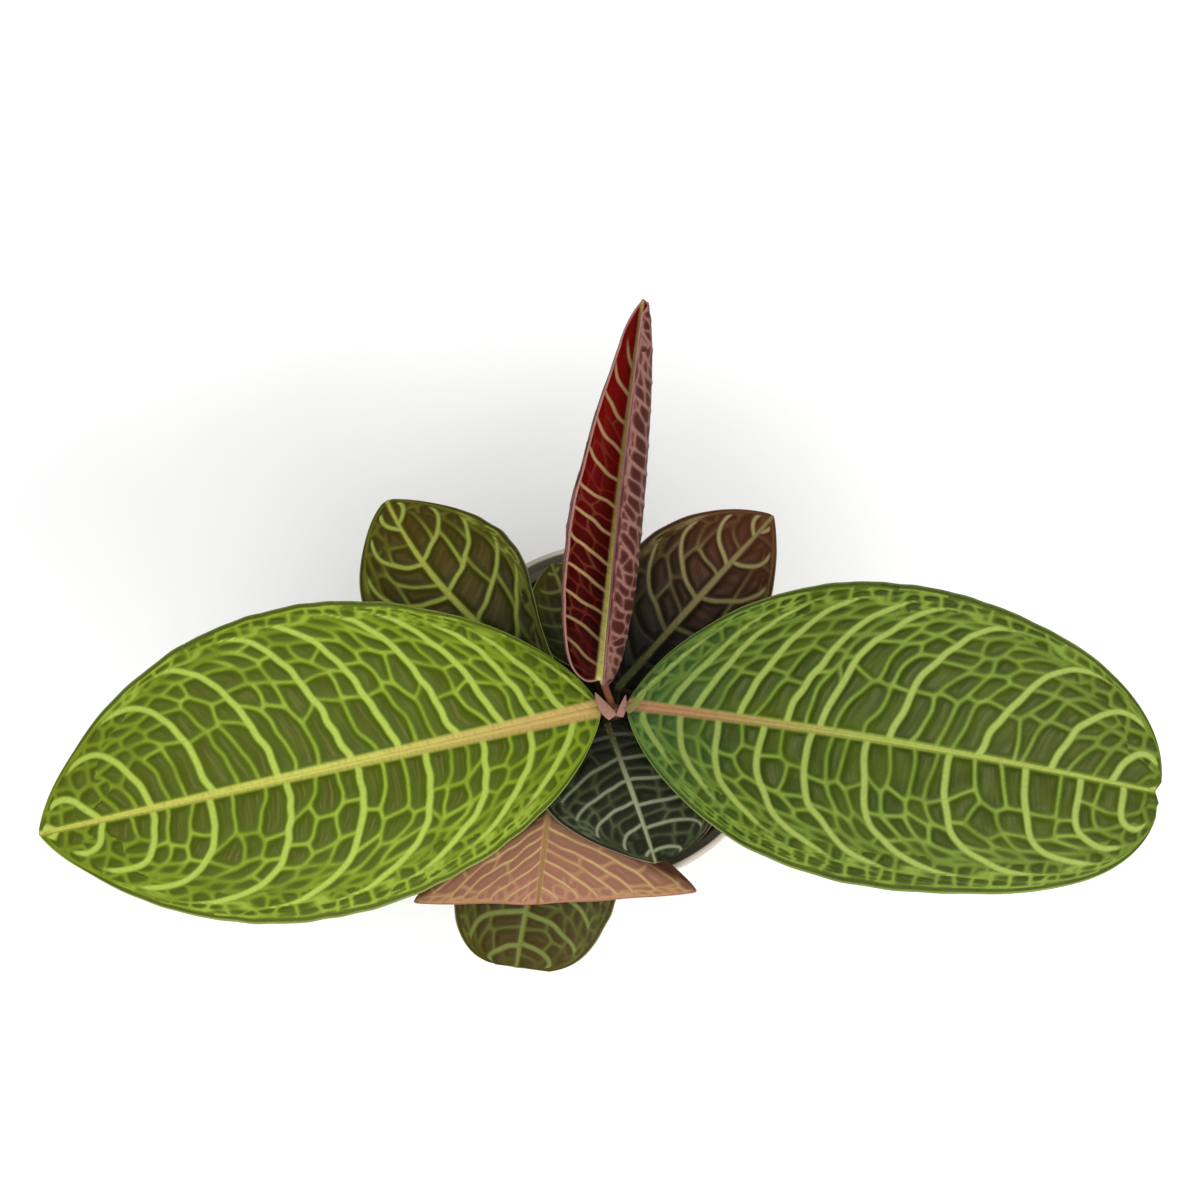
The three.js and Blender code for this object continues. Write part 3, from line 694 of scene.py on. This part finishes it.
# base_shade: painted shade, near black over the inner 0.7 of the leaf, which lies under the big leaves near
# the middle of the plant
OLIVE = dict(
    GREEN, halo="#60661a", deep="#242802", centre="#3a3006", centre_sheen="#54491e", centre_show=0.85,
    blotch="#37340a", vein="#8a9440", net="#808a34", net_show=0.95, rib_base="#5c6c30",
    rib_tip="#949c44", rim="#8c9650", tip_tint="#4c3c10", tip_show=0.45, base_shade="#0c1204",
    base_shade_from_to=(0.0, 0.7), base_shade_show=0.85, stalk="#2c2414",
)
# base_shade over the inner 0.45: painted shade where the leaf runs under the leaves above
LOW_OLIVE = dict(
    OLIVE, vein="#666e34", net="#545a22", rib_tip="#686f36", halo="#40440e", deep="#1c1e02",
    centre="#2a2204", centre_sheen="#443c18", blotch="#2c2806", base_shade_from_to=(0.0, 0.45),
)
# base_shade: painted shade, near black from 0.12 to 0.8 along the leaf, which lies under the big leaves
BROWN = dict(
    OLIVE, halo="#564624", deep="#1c1604", centre="#3a2010", centre_sheen="#583c2c", blotch="#2c1e0c",
    vein="#887e50", net="#766a44", rib_base="#3c4626", rib_tip="#7a7048", rim="#8a7458",
    tip_tint="#542818", tip_show=0.6, tip_from_to=(0.45, 0.95), under="#5c4038", under_vein="#80604c",
    under_cell="#4c3430", base_shade="#020301", base_shade_from_to=(0.12, 0.8), base_shade_show=0.95,
)
# Painted shade in part: the near-black colours carry the deep shade this low front leaf lies in, on top of
# its own dark olive, and base_shade darkens it further towards the base
DARK_SHADED = dict(
    OLIVE, halo="#30341a", deep="#121403", centre="#14160a", centre_sheen="#24281a", blotch="#161808",
    vein="#727860", net="#4c523c", net_show=0.8, rib_base="#2c3218", rib_tip="#808468", rim="#8a7862",
    rim_show=0.9, tip_show=0.0, under="#4c5840", under_vein="#707860", under_cell="#444c38",
    base_shade="#050703", base_shade_from_to=(0.0, 0.6), base_shade_show=0.85, gloss=0.06,
)
# base_shade: painted shade over the steep back slope of the crease, before the crest at 0.4 along the leaf
PINK = dict(
    OLIVE, halo="#98744e", halo_mm=1.0, deep="#74503c", centre="#785040", centre_sheen="#946a54",
    blotch="#7c543c", vein="#aa9260", net="#a8845c", rib_base="#5c5818", rib_tip="#8c6c44",
    rim="#b06860", rim_show=0.9, tip_tint="#ac7468", tip_show=0.35, under="#70443c",
    under_vein="#8c6c50", under_cell="#643c34", base_shade="#321004", base_shade_from_to=(0.36, 0.46),
    base_shade_show=0.9, rib_line="#8c7c3c",
)
# base_shade: half-strength painted shade over the inner 0.4 of the young leaf, where it rises from the
# shaded middle of the plant
RED = dict(
    OLIVE, halo="#560a04", halo_mm=0.5, deep="#300100", centre="#260000", centre_sheen="#440402",
    blotch="#400200", vein="#a08458", net="#704028", net_show=0.7, rib_base="#dcd678",
    rib_tip="#b09858", rim="#9a706a", rim_show=0.9, tip_tint="#740806", tip_from_to=(0.25, 0.8),
    tip_show=0.75, under="#542e2a", under_mm=0.8, under_vein="#7e5a50", under_cell="#3c1c18",
    base_shade="#160402", base_shade_from_to=(0.0, 0.4), base_shade_show=0.5, stalk="#744434", gloss=0.06,
)


# ---- the leaves ----
def spread(first, last, count):
    """Even stations from first to last."""
    return np.linspace(first, last, count)


def both_sides(veins):
    """The same veins for the left and the right side."""
    return dict(left_veins=veins, right_veins=veins)


# What a leaf says, in mm and degrees. start: its blade's base; node: height at which the stalk leaves the
# stem; heading, swing: direction seen from above, counted from +X towards +Y, and its change by the tip;
# rise, droop: slope at the base and how much it falls by the tip; length: the midrib's; ridge: radius of
# the stalk; rib: half-width of the midrib at base and tip; rib_end: where along it the rod underneath
# ends; bulge: height of a cell; ruffle, wobble: waves in the surface and in the outline; rim_band: width
# of the band along the margin that has no cells; side_vein, small_vein: half-widths; small_show: strength
# of the small veins; fine, fine_under: spacing of the mesh's points on top, and across it underneath;
# notch: depth of the notch at the tip; seed: for its draws. A creased blade has a crest, a tip and two
# corners in place of heading to droop, crest_at being the crest's place and *_soft how softly each turns.
LEAF_DEFAULTS = dict(
    half=swept_half, rib_end=0.99, bulge=0.6, ruffle=0.5, rim_band=1.6, side_vein=0.75, small_vein=0.42,
    small_show=0.8, rib=(2.1, 0.5), fine=0.5, fine_under=1.2, wobble=0.22, notch=0.0,
)
LEAVES = {
    "leaf_left": dict(
        start=[-1.8, -3, 127], node=116, heading=195.6, swing=-4, rise=24, droop=32, length=163, ridge=1.3,
        left=Side(40.5, 0.51, 0.69, 0.84, 8, -16, 1), right=Side(46.5, 0.53, 0.6, 0.76, 8, -16, 1),
        left_veins=Veins([0.06, 0.146, 0.228, 0.329, 0.45, 0.573, 0.703, 0.80, 0.89], 0.14, 2.6, 1.0, 0.87,
                         6.2, 16, 7, 5.0),
        right_veins=Veins([0.06, 0.119, 0.187, 0.267, 0.379, 0.46, 0.582, 0.69, 0.80, 0.895], 0.068, 1.0,
                          1.0, 0.9, 6.0, 26, 8, 5.0),
        seed=11, fine=0.43, fine_under=1.3, side_vein=0.95, rib=(2.6, 0.65), bulge=0.75,
    ),
    "leaf_right": dict(
        start=[5.8, -1.9, 127], node=117, heading=-9.8, swing=-1, rise=24, droop=32, length=153, ridge=1.3,
        left=Side(44, 0.51, 0.69, 0.47, 8, -14, 1), right=Side(40.5, 0.5, 0.7, 0.38, 8, -14, 1),
        left_veins=Veins([0.083, 0.135, 0.218, 0.311, 0.372, 0.5, 0.667, 0.795, 0.904], 0.088, 1.05, 1.0,
                         0.88, 6.2, 24, 8, 5.0),
        right_veins=Veins([0.04, 0.115, 0.186, 0.269, 0.362, 0.465, 0.615, 0.753, 0.85, 0.93], 0.19, 3.5,
                          1.0, 0.86, 6.2, 15, 7, 5.0),
        seed=23, fine=0.43, fine_under=1.3, side_vein=0.95, rib=(1.7, 0.5), bulge=0.75, notch=1.3,
    ),
    "leaf_young": dict(
        start=[-1.2, 3.1, 142], node=124, heading=85, swing=-3, rise=42, droop=6, length=118, ridge=1.0,
        left=Side(17.5, 0.33, 0.81, 0.8, 12, 150, 5), right=Side(21.5, 0.43, 0.6, 0.46, 20, 165, 1.3),
        **both_sides(Veins(spread(0.03, 0.98, 14), 0.32, 1.0, 3.0, 0.93, 3.5, 9, 6, 3)),
        seed=37, rib=(2.0, 0.6), rib_end=0.6, rim_band=0.8, side_vein=0.5, small_vein=0.32, fine=0.42,
        fine_under=0.5, bulge=0.3,
    ),
    "leaf_back_left": dict(
        start=[-5.8, 2.9, 113], node=105, heading=158, swing=-44, rise=20, droop=36, length=84, ridge=1.1,
        left=Side(27.3, 0.45, 0.7, 0.75, 6, -20, 1), right=Side(24, 0.6, 1.44, 0.75, 6, -20, 1),
        left_veins=Veins(spread(0.12, 0.88, 6), 0.13, 1.2, 1.0, 0.86, 8.5, 16, 9, 6),
        right_veins=Veins(spread(0.15, 0.9, 6), 0.11, 1.2, 1.0, 0.86, 8.5, 16, 9, 6),
        seed=41, bulge=0.8, rib=(1.2, 0.5), side_vein=0.62, small_show=0.95,
    ),
    "leaf_back_right": dict(
        start=[3, 4.4, 113], node=107, heading=46.3, swing=3, rise=20, droop=36, length=68.5, ridge=1.1,
        left=Side(23.7, 0.46, 0.59, 0.72, 6, -20, 1), right=Side(21, 0.38, 0.59, 0.87, 6, -20, 1),
        left_veins=Veins(spread(0.12, 0.88, 5), 0.15, 1.2, 1.0, 0.86, 8.5, 16, 9, 6),
        right_veins=Veins(spread(0.16, 0.9, 5), 0.13, 1.2, 1.0, 0.86, 8.5, 16, 9, 6),
        seed=53, bulge=0.8, rib=(1.1, 0.5), side_vein=0.6, small_show=0.95,
    ),
    "leaf_front_dark": dict(
        start=[-0.2, -6.2, 120.5], node=111, heading=-69.6, swing=-2, rise=4, droop=18,
        length=42.5, ridge=0.9,
        left=Side(26, 0.5, 0.6, 0.4, 8, -18, 1), right=Side(25.5, 0.3, 0.65, 0.9, 8, -18, 1),
        **both_sides(Veins(spread(0.1, 0.9, 6), 0.1, 1.6, 1.0, 0.8, 4, 9, 6, 5)),
        seed=61, bulge=0.45, rib=(0.9, 0.4), fine=0.4, side_vein=0.5, small_vein=0.3,
    ),
    "leaf_front_low": dict(
        start=[-5.7, -8.3, 95.5], node=92, heading=-116.6, swing=19, rise=6, droop=18,
        length=70.5, ridge=1.0,
        left=Side(25, 0.56, 0.58, 0.27, 5, -18, 1), right=Side(24.5, 0.49, 0.6, 0.28, 5, -18, 1),
        **both_sides(Veins(spread(0.1, 0.9, 7), 0.1, 1.4, 1.0, 0.82, 5, 12, 6, 5)),
        seed=71, rib=(1.2, 0.5),
    ),
    "leaf_behind": dict(
        start=[-4.4, 11.9, 97], node=92, heading=111, swing=0, rise=8, droop=16, length=33, ridge=0.9,
        left=Side(12, 0.5, 0.6, 0.7, 8, -16, 1), right=Side(12, 0.5, 0.6, 0.7, 8, -16, 1),
        **both_sides(Veins(spread(0.1, 0.9, 6), 0.1, 1.4, 1.0, 0.82, 4, 8, 4, 3.5)),
        seed=83, rib=(0.8, 0.4), side_vein=0.5, small_vein=0.3, bulge=0.35,
    ),
    "leaf_front_bronze": dict(
        start=[-14.4, -17, 103], crest=[-17, -32, 116.5], tip=[-20.2, -56.6, 98.8],
        left_corner=[27.3, -53.5, 98.5], right_corner=[-56.8, -56.9, 100], crest_at=0.4, crest_soft=0.1,
        corner_soft=0.04, node=99, length=50,
        half=creased_half, left=None, right=None, ridge=1.0,
        **both_sides(Veins(spread(0.05, 0.95, 12), 0.03, 1.3, 1.0, 0.88, 4.2, 24, 12, 4)),
        seed=97, rib=(1.0, 0.6), side_vein=0.4, small_vein=0.28, bulge=0.3, rim_band=1.0, fine=0.36,
    ),
}
# painted shade over the whole blade: base_shade runs from the base past the tip
SHADED_OLIVE = dict(LOW_OLIVE, base_shade_from_to=(0.0, 1.2))
for name, piece_name, material_name, look, slot in (
    ("leaf_left", "green_leaf_left", "waxy_green_leaf_left", GREEN, "green_leaf"),
    ("leaf_right", "green_leaf_right", "waxy_green_leaf_right", GREEN_RIGHT, "green_leaf"),
    ("leaf_young", "young_red_leaf", "young_red_leaf_skin", RED, "young_red_leaf"),
    ("leaf_back_left", "olive_leaf_back_left", "olive_leaf_skin_back", OLIVE, "olive_leaf"),
    ("leaf_back_right", "bronze_leaf_back_right", "bronze_brown_leaf_skin", BROWN, "bronze_brown_leaf"),
    ("leaf_front_dark", "dark_leaf_front", "dark_shaded_silver_veined_leaf", DARK_SHADED, "dark_leaf"),
    ("leaf_front_low", "olive_leaf_front_low", "olive_leaf_skin_low", LOW_OLIVE, "olive_leaf"),
    ("leaf_behind", "olive_leaf_behind", "olive_leaf_skin_behind", SHADED_OLIVE, "olive_leaf"),
    ("leaf_front_bronze", "pink_leaf_front", "pink_bronze_leaf_skin", PINK, "pink_bronze_leaf"),
):
    leaf = {**LEAF_DEFAULTS, **LEAVES[name]}
    make_piece(piece_name, grow_leaf(leaf), leaf_material(material_name, look), [name], centre=True)


# ---- the pot ----
POT_HOLES, SECTOR_STEPS = 6, 24
POT_FOOT_RADIUS, POT_FLOOR_RADIUS, POT_FLOOR = 34, 33.8, 1.5
HOLE_CIRCLE, HOLE_RADIUS, HUB_RADIUS = 24, 4, 9
LIP_DEPTH, LIP_WALL, LIP_STEP = 13, 1.5, 2.6  # the lip's height, thickness and overhang over the wall


def soften(corners, radius, count):
    """Profile line with every inner corner replaced by a curve that starts and ends `radius` away from
    it."""
    corners = np.asarray(corners, float)
    back, ahead = corners[:-2] - corners[1:-1], corners[2:] - corners[1:-1]
    room = np.minimum(np.linalg.norm(back, axis=1), np.linalg.norm(ahead, axis=1))
    size = np.minimum(radius, 0.45 * room)[:, None]
    t = np.linspace(0, 1, count)[None, :, None]
    middle = corners[1:-1, None]
    curve = (1 - t) ** 2 * (middle + (unit(back) * size)[:, None]) + 2 * t * (1 - t) * middle
    curve = curve + t**2 * (middle + (unit(ahead) * size)[:, None])
    return np.vstack([corners[:1], curve.reshape(-1, 2), corners[-1:]])


def turned(profile, turn):
    """A profile of (radius, height) carried once round the vertical axis: a band of quads, open at its
    ends."""
    radius, height = profile[:, 0, None], profile[:, 1, None]
    rings = np.stack([radius * np.cos(turn), radius * np.sin(turn), height + 0 * turn], -1)
    index = np.arange(radius.size * turn.size).reshape(rings.shape[:2])
    return Shell(rings.reshape(-1, 3), ring_quads(index), np.zeros((0, 3), int), {})


def drained_disc(height, radius):
    """Flat disc with round holes. Each hole has its own sector, and rings run from the hole's circle out
    to the sector's outline: an arc of the edge, two straight sides and an arc of the hub. Returns the
    disc and the hole's circles."""
    half = np.pi / POT_HOLES
    swing = np.linspace(-half, half, SECTOR_STEPS + 1)
    outer = np.stack([np.cos(swing), np.sin(swing)], -1)
    reach = np.linspace(radius, HUB_RADIUS, 6)[1:-1, None]
    inner = outer[::-1] * HUB_RADIUS
    outline = np.vstack([outer * radius, outer[-1] * reach, inner, outer[0] * reach[::-1]])
    centre = np.array([HOLE_CIRCLE, 0.0])
    circle = centre + HOLE_RADIUS * unit(outline - centre)
    share = np.linspace(0, 1, 5)[:, None, None]
    flat = circle * (1 - share) + outline * share
    turn = 2 * half * np.arange(POT_HOLES)
    c, d = np.cos(turn)[:, None, None], np.sin(turn)[:, None, None]
    x, y = flat[None, ..., 0], flat[None, ..., 1]
    points = np.stack([x * c - y * d, x * d + y * c, x * 0 + c * 0 + height], -1)
    index = np.arange(points[..., 0].size).reshape(points.shape[:3])
    rim = 2 * np.pi * np.arange(POT_HOLES * SECTOR_STEPS) / (POT_HOLES * SECTOR_STEPS) - half
    hub = np.stack([HUB_RADIUS * np.cos(rim), HUB_RADIUS * np.sin(rim), 0 * rim + height], -1)
    hub_index = index.size + np.arange(len(rim))
    tris = np.stack([np.full(len(rim), index.size + len(rim)), hub_index, np.roll(hub_index, -1)], -1)
    everything = np.vstack([points.reshape(-1, 3), hub, [[0, 0, height]]])
    return Shell(everything, ring_quads(index), tris, {}), points[:, 0]


def build_pot():
    """Tapered pot with a stepped lip: the softened profile turned about the axis, a floor with drain
    holes, and the short walls of the holes."""
    low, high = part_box("pot")
    lip, height = (high.x - low.x) / 2 / MM, high.z / MM
    under_lip = height - LIP_DEPTH
    profile = soften([
        (POT_FOOT_RADIUS, 0), (POT_FOOT_RADIUS + 1, 1.0), (lip - LIP_STEP, under_lip - 1), (lip, under_lip),
        (lip, height), (lip - LIP_WALL, height), (lip - LIP_WALL - 0.3, under_lip + 1),
        (lip - LIP_STEP - LIP_WALL, under_lip - 1), (POT_FLOOR_RADIUS, POT_FLOOR),
    ], 0.75, 5)
    sides = POT_HOLES * SECTOR_STEPS
    wall = turned(profile, 2 * np.pi * np.arange(sides) / sides - np.pi / POT_HOLES)
    lower, hole_low = drained_disc(0, POT_FOOT_RADIUS)
    upper, hole_high = drained_disc(POT_FLOOR, POT_FLOOR_RADIUS)
    bores = np.stack([hole_low, hole_high], 1)
    index = np.arange(bores[..., 0].size).reshape(bores.shape[:3])
    bores = Shell(bores.reshape(-1, 3), ring_quads(index), np.zeros((0, 3), int), {})
    return gather([wall, lower, upper, bores])


def pot_plastic():
    """Injection-moulded polypropylene, warm greige: satin, with faint flow clouds and fine mould grain."""
    material, tree, place = start_material("moulded_polypropylene_greige")
    cloud = put(tree, "ShaderNodeTexNoise", {"Vector": place, "Scale": 1 / (30 * MM), "Detail": 3.0})
    grain = put(tree, "ShaderNodeTexNoise", {"Vector": place, "Scale": 1 / (0.5 * MM), "Detail": 1.0})
    inputs = {MIX_FACTOR: cloud.outputs["Fac"], MIX_A: "#b8aba0", MIX_B: "#c9beb3"}
    tone = put(tree, "ShaderNodeMix", inputs, data_type="RGBA").outputs[MIX_RESULT]
    sockets = {"Base Color": tone, "Roughness": 0.42, "IOR": 1.49, "Specular IOR Level": 0.4}
    close_material(tree, grain.outputs["Fac"], 0.15, 0.05, sockets)
    return material


# ---- the soil ----
CRUMB_COUNT, CRUMB_CIRCLE = 420, 43
BARK_SHARE, BARK_RADII, PERLITE_RADII = 0.9, (0.6, 2.0), (0.5, 0.9)
SOIL_CROWN, SOIL_SHOULDER, SOIL_FOOT_RADIUS = 2, 6, 33  # rise of the middle, height of the rounded side
SOIL_SIDES, SOIL_RINGS, SOIL_HUB = 150, 46, 0.6  # points per ring, rings, radius of the innermost
CRUMB_SLICES, CRUMB_SIDES, CRUMB_CAP = 4, 7, 0.85  # a crumb's rings, their points, height of the last


def crumbs(count, seed, top):
    """Small broken pieces lying on the soil: squashed balls with drawn sizes, turns and dents. Mark
    `kind` is 0 for bark and 1 for perlite, and `shade` is drawn for each crumb."""
    draw = np.random.default_rng(seed)
    lift = np.linspace(-CRUMB_CAP, CRUMB_CAP, CRUMB_SLICES)[:, None]
    turn = np.linspace(0, 2 * np.pi, CRUMB_SIDES, endpoint=False)
    slice_radius = np.sqrt(1 - lift**2)
    slices = np.stack([slice_radius * np.cos(turn), slice_radius * -np.sin(turn), lift + 0 * turn], -1)
    ball = loft(slices, {})
    kind = (draw.uniform(0, 1, count) > BARK_SHARE).astype(float)
    perlite_size = draw.uniform(*PERLITE_RADII, count)
    size = np.where(kind > 0, perlite_size, draw.uniform(*BARK_RADII, count))
    squash = draw.uniform(0.35, 1.0, (count, 1, 3))
    dents = draw.uniform(0.75, 1.2, (count, len(ball.points), 1))
    shapes = ball.points[None] * dents * squash * size[:, None, None]
    spin, tip = draw.uniform(0, 2 * np.pi, (2, count))
    c, d, e, f = np.cos(spin), np.sin(spin), np.cos(tip * 0.15), np.sin(tip * 0.15)
    zero = 0 * c
    rows = [np.stack([c, -d * e, d * f], -1), np.stack([d, c * e, -c * f], -1), np.stack([zero, f, e], -1)]
    out = CRUMB_CIRCLE * np.sqrt(draw.uniform(0.01, 1, count))
    way = draw.uniform(0, 2 * np.pi, count)
    x, y = out * np.cos(way), out * np.sin(way)
    places = np.stack([x, y, top(x, y) + size * 0.15], -1)
    points = np.einsum("nij,npj->npi", np.stack(rows, -2), shapes) + places[:, None]
    shift = (np.arange(count) * len(ball.points))[:, None, None]
    marks = {"kind": kind, "shade": draw.uniform(0, 1, count)}
    return Shell(points.reshape(-1, 3), (ball.quads[None] + shift).reshape(-1, 4),
                 (ball.tris[None] + shift).reshape(-1, 3),
                 {name: np.repeat(values, len(ball.points)) for name, values in marks.items()})


def build_soil():
    """Moist mix: a low crowned heap with lumps of two sizes, a side and a flat bottom, and loose
    crumbs."""
    low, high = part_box("soil")
    edge, level = (high.x - low.x) / 2 / MM, high.z / MM - SOIL_CROWN

    def top(x, y):
        crown = SOIL_CROWN * (1 - (x**2 + y**2) / edge**2)
        return level + crown + 0.7 * ripple(x, y, 9, 5) + 0.4 * ripple(x, y, 3.4, 6)

    turn = np.linspace(0, 2 * np.pi, SOIL_SIDES, endpoint=False)
    radii = np.concatenate([[SOIL_FOOT_RADIUS, edge], np.linspace(edge, SOIL_HUB, SOIL_RINGS)])[:, None]
    x, y = radii * np.cos(turn), radii * np.sin(turn)
    heights = top(x, y)
    heights[0] = low.z / MM
    heights[1] = level - SOIL_SHOULDER
    heap = loft(np.stack([x, y, heights], -1), {"kind": 0.0, "shade": 0.3})
    return gather([heap, crumbs(CRUMB_COUNT, 8, top)])


def soil_mix():
    """Peat with bark and perlite: matt and nearly black, the peat's own dark brown pushed towards black as
    painted shade for the deep shade in the middle of the plant; bark crumbs brown, perlite off-white."""
    material, tree, place = start_material("dark_shaded_peat_and_bark")
    fibre = put(tree, "ShaderNodeTexNoise", {"Vector": place, "Scale": 1 / (2 * MM), "Detail": 5.0})
    fibre = fibre.outputs["Fac"]
    # painted shade: the near-black ground darkens the peat beyond its own dark brown
    tone = "#0d0907"
    for amount, tint in ((fibre, "#2e2119"), ("shade", "#3d2a1c"), ("kind", "#a39a8c")):
        if isinstance(amount, str):
            amount = put(tree, "ShaderNodeAttribute", {}, attribute_name=amount).outputs["Fac"]
        inputs = {MIX_FACTOR: amount, MIX_A: tone, MIX_B: tint}
        tone = put(tree, "ShaderNodeMix", inputs, data_type="RGBA").outputs[MIX_RESULT]
    sockets = {"Base Color": tone, "Roughness": 0.93, "Specular IOR Level": 0.15}
    close_material(tree, fibre, 0.8, 0.6, sockets)
    return material


# ---- the stem and its growing tip ----
SCALE_RINGS, SCALE_SIDES, SCALE_THICKNESS = 48, 32, 0.32


def build_stem():
    """Short upright stem: a tapering rod with a slight sway and a swollen ring at each place a leaf
    leaves."""
    heights = np.linspace(STEM_FOOT, STEM_TOP, STEM_RINGS)
    share = (heights - STEM_FOOT) / (STEM_TOP - STEM_FOOT)
    nodes = np.array([leaf["node"] for leaf in LEAVES.values()], float)[:, None]
    swell = np.exp(-(((heights - nodes + 1.0) / 1.3) ** 2)).max(0)
    radii = lerp(STEM_FOOT_RADIUS, STEM_TOP_RADIUS, share) * (1 + 0.16 * swell)
    radii[-3:] = radii[-3:] * [0.95, 0.8, 0.5]
    sway = 0.25 * np.sin(share * 9)
    path = np.stack([STEM_AXIS[0] + sway, STEM_AXIS[1] + sway[::-1], heights], -1)
    return tube(path, radii, STEM_SIDES, {"along": share})


def build_scale(start, end, half_breadth, bow, cup):
    """A pointed scale: along a bowed line its breadth rises and falls to a point, and each section is a
    cupped strip, thickest in the middle."""
    start, end = np.asarray(start, float), np.asarray(end, float)
    u = np.linspace(0, 1, SCALE_RINGS)
    t = u[:, None]
    middle = (start + end) / 2 + np.array([0, -bow, -bow])
    path = (1 - t) ** 2 * start + 2 * t * (1 - t) * middle + t**2 * end
    along = unit(np.gradient(path, axis=0))
    across = unit(np.cross([0, -0.7, 0.7], along))
    up = np.cross(along, across)
    swelling = 0.3 + 0.7 * np.sin(np.pi * (0.2 + 0.78 * u) ** 0.75)
    breadth = (half_breadth * swelling * np.sqrt(1 - u**6 * 0.97))[:, None]
    turn = np.linspace(0, 2 * np.pi, SCALE_SIDES, endpoint=False)
    over = np.cos(turn)
    thick = SCALE_THICKNESS * (1 - 0.55 * t) * np.sin(turn) * (1.15 - over**2)
    lift = cup * (over**2)[None] * breadth + thick
    rings = path[:, None] + (breadth * over)[..., None] * across[:, None] + lift[..., None] * up[:, None]
    return loft(rings[:, ::-1], {"along": t + 0 * over})


def dry_skin(name, base, tip, fleck, size_mm, rough):
    """Thin dry plant skin: matt, flecked with fine scales, one colour at the foot and another at the
    tip."""
    material, tree, place = start_material(name)
    along = put(tree, "ShaderNodeAttribute", {}, attribute_name="along").outputs["Fac"]
    scale = 1 / (size_mm * MM)
    scales = put(tree, "ShaderNodeTexVoronoi", {"Vector": place, "Scale": scale}).outputs["Distance"]
    cloud = put(tree, "ShaderNodeTexNoise", {"Vector": place, "Scale": scale / 3, "Detail": 3.0})
    inputs = {0: scales, 1: cloud.outputs["Fac"]}
    share = put(tree, "ShaderNodeMath", inputs, operation="MULTIPLY").outputs[0]
    tone = base
    for amount, tint in ((along, tip), (share, fleck)):
        inputs = {MIX_FACTOR: amount, MIX_A: tone, MIX_B: tint}
        tone = put(tree, "ShaderNodeMix", inputs, data_type="RGBA").outputs[MIX_RESULT]
    sockets = {"Base Color": tone, "Roughness": rough, "Specular IOR Level": 0.3}
    close_material(tree, scales, 0.5, 0.12, sockets)
    return material


make_piece("nursery_pot", build_pot(), pot_plastic(), ["pot"], weld=True)
make_piece("potting_soil", build_soil(), soil_mix(), ["soil"])
bark = dry_skin("thin_brown_bark", "#4a3324", "#6e4a38", "#2c1c14", 0.8, 0.7)
make_piece("brown_stem", build_stem(), bark, ["stem"])
bud_skin = dry_skin("mauve_bud_scale", "#96705f", "#8a6258", "#6a4540", 0.35, 0.65)
stipule_skin = dry_skin("olive_stipule_skin", "#6c5a38", "#6f8030", "#4c5018", 0.4, 0.6)
left_scale = build_scale([1.9, -5.9, 129.6], [-3.2, 0.3, 135], 1.7, 0.8, 0.35)
right_scale = build_scale([3.3, -5.6, 130], [5, -0.3, 136], 1.1, 0.6, 0.35)
stipule = build_scale([5.2, -4.4, 132], [10.8, 0.7, 136], 1.2, 0.6, 0.45)
make_piece("bud_scale_left_skin", left_scale, bud_skin, ["bud_scale_left"], centre=True)
make_piece("bud_scale_right_skin", right_scale, bud_skin, ["bud_scale_right"], centre=True)
make_piece("olive_stipule", stipule, stipule_skin, ["stipule"], centre=True)


# ---- camera, floor and light, in metres ----
FLOOR_HALF_SIDE = 3.0
CAMERA_ELEVATION = np.radians(82)
CAMERA_TARGET = np.array([-0.00206, 0.033, 0.09])
CAMERA_DISTANCE = 1.0
FRAME_WIDTH_AT_TARGET = 0.353
SENSOR_MM = 36
LIGHT_TARGET = np.array([0, 0, 0.1])
WORLD_STRENGTH = 0.32


def build_floor():
    """A level sheet of white paper: one square."""
    side = FLOOR_HALF_SIDE
    mesh = bpy.data.meshes.new("floor")
    corners = [(-side, -side, 0), (side, -side, 0), (side, side, 0), (-side, side, 0)]
    mesh.from_pydata(corners, [], [(0, 1, 2, 3)])
    material, tree, _ = start_material("white_studio_paper")
    sockets = {"Base Color": "#fafafa", "Roughness": 1.0, "Specular IOR Level": 0.0}
    paper = put(tree, "ShaderNodeBsdfPrincipled", sockets)
    put(tree, "ShaderNodeOutputMaterial", {"Surface": paper.outputs["BSDF"]})
    mesh.materials.append(material)
    floor = add_object("floor", mesh)


def build_camera():
    """Looks down at the plant from the front, at CAMERA_ELEVATION above level."""
    data = bpy.data.cameras.new("camera")
    data.sensor_width = SENSOR_MM
    data.lens = SENSOR_MM * CAMERA_DISTANCE / FRAME_WIDTH_AT_TARGET
    camera = add_object("camera", data)
    away = np.array([0, -np.cos(CAMERA_ELEVATION), np.sin(CAMERA_ELEVATION)])
    camera.location = CAMERA_TARGET + CAMERA_DISTANCE * away
    camera.rotation_euler = (np.pi / 2 - CAMERA_ELEVATION, 0, 0)
    bpy.context.scene.camera = camera


def softbox(name, place, size, watts):
    """A square lamp of the given size at a place, facing the plant."""
    data = bpy.data.lights.new(name, "AREA")
    data.size = size
    data.energy = watts
    lamp = add_object(name, data)
    lamp.location = place
    direction = Vector(LIGHT_TARGET - np.array(place))
    lamp.rotation_euler = direction.to_track_quat("-Z", "Y").to_euler()


build_floor()
build_camera()
softbox("overhead_softbox", (0.15, -0.35, 1.7), 2.4, 41)
softbox("key_softbox", (0.55, -0.75, 1.2), 0.6, 7)
world = bpy.data.worlds.new("studio")
bpy.context.scene.world = world
world.use_nodes = True
world.node_tree.nodes["Background"].inputs["Color"].default_value = colour("#ffffff")
world.node_tree.nodes["Background"].inputs["Strength"].default_value = WORLD_STRENGTH
bpy.context.scene.view_settings.view_transform = "Standard"
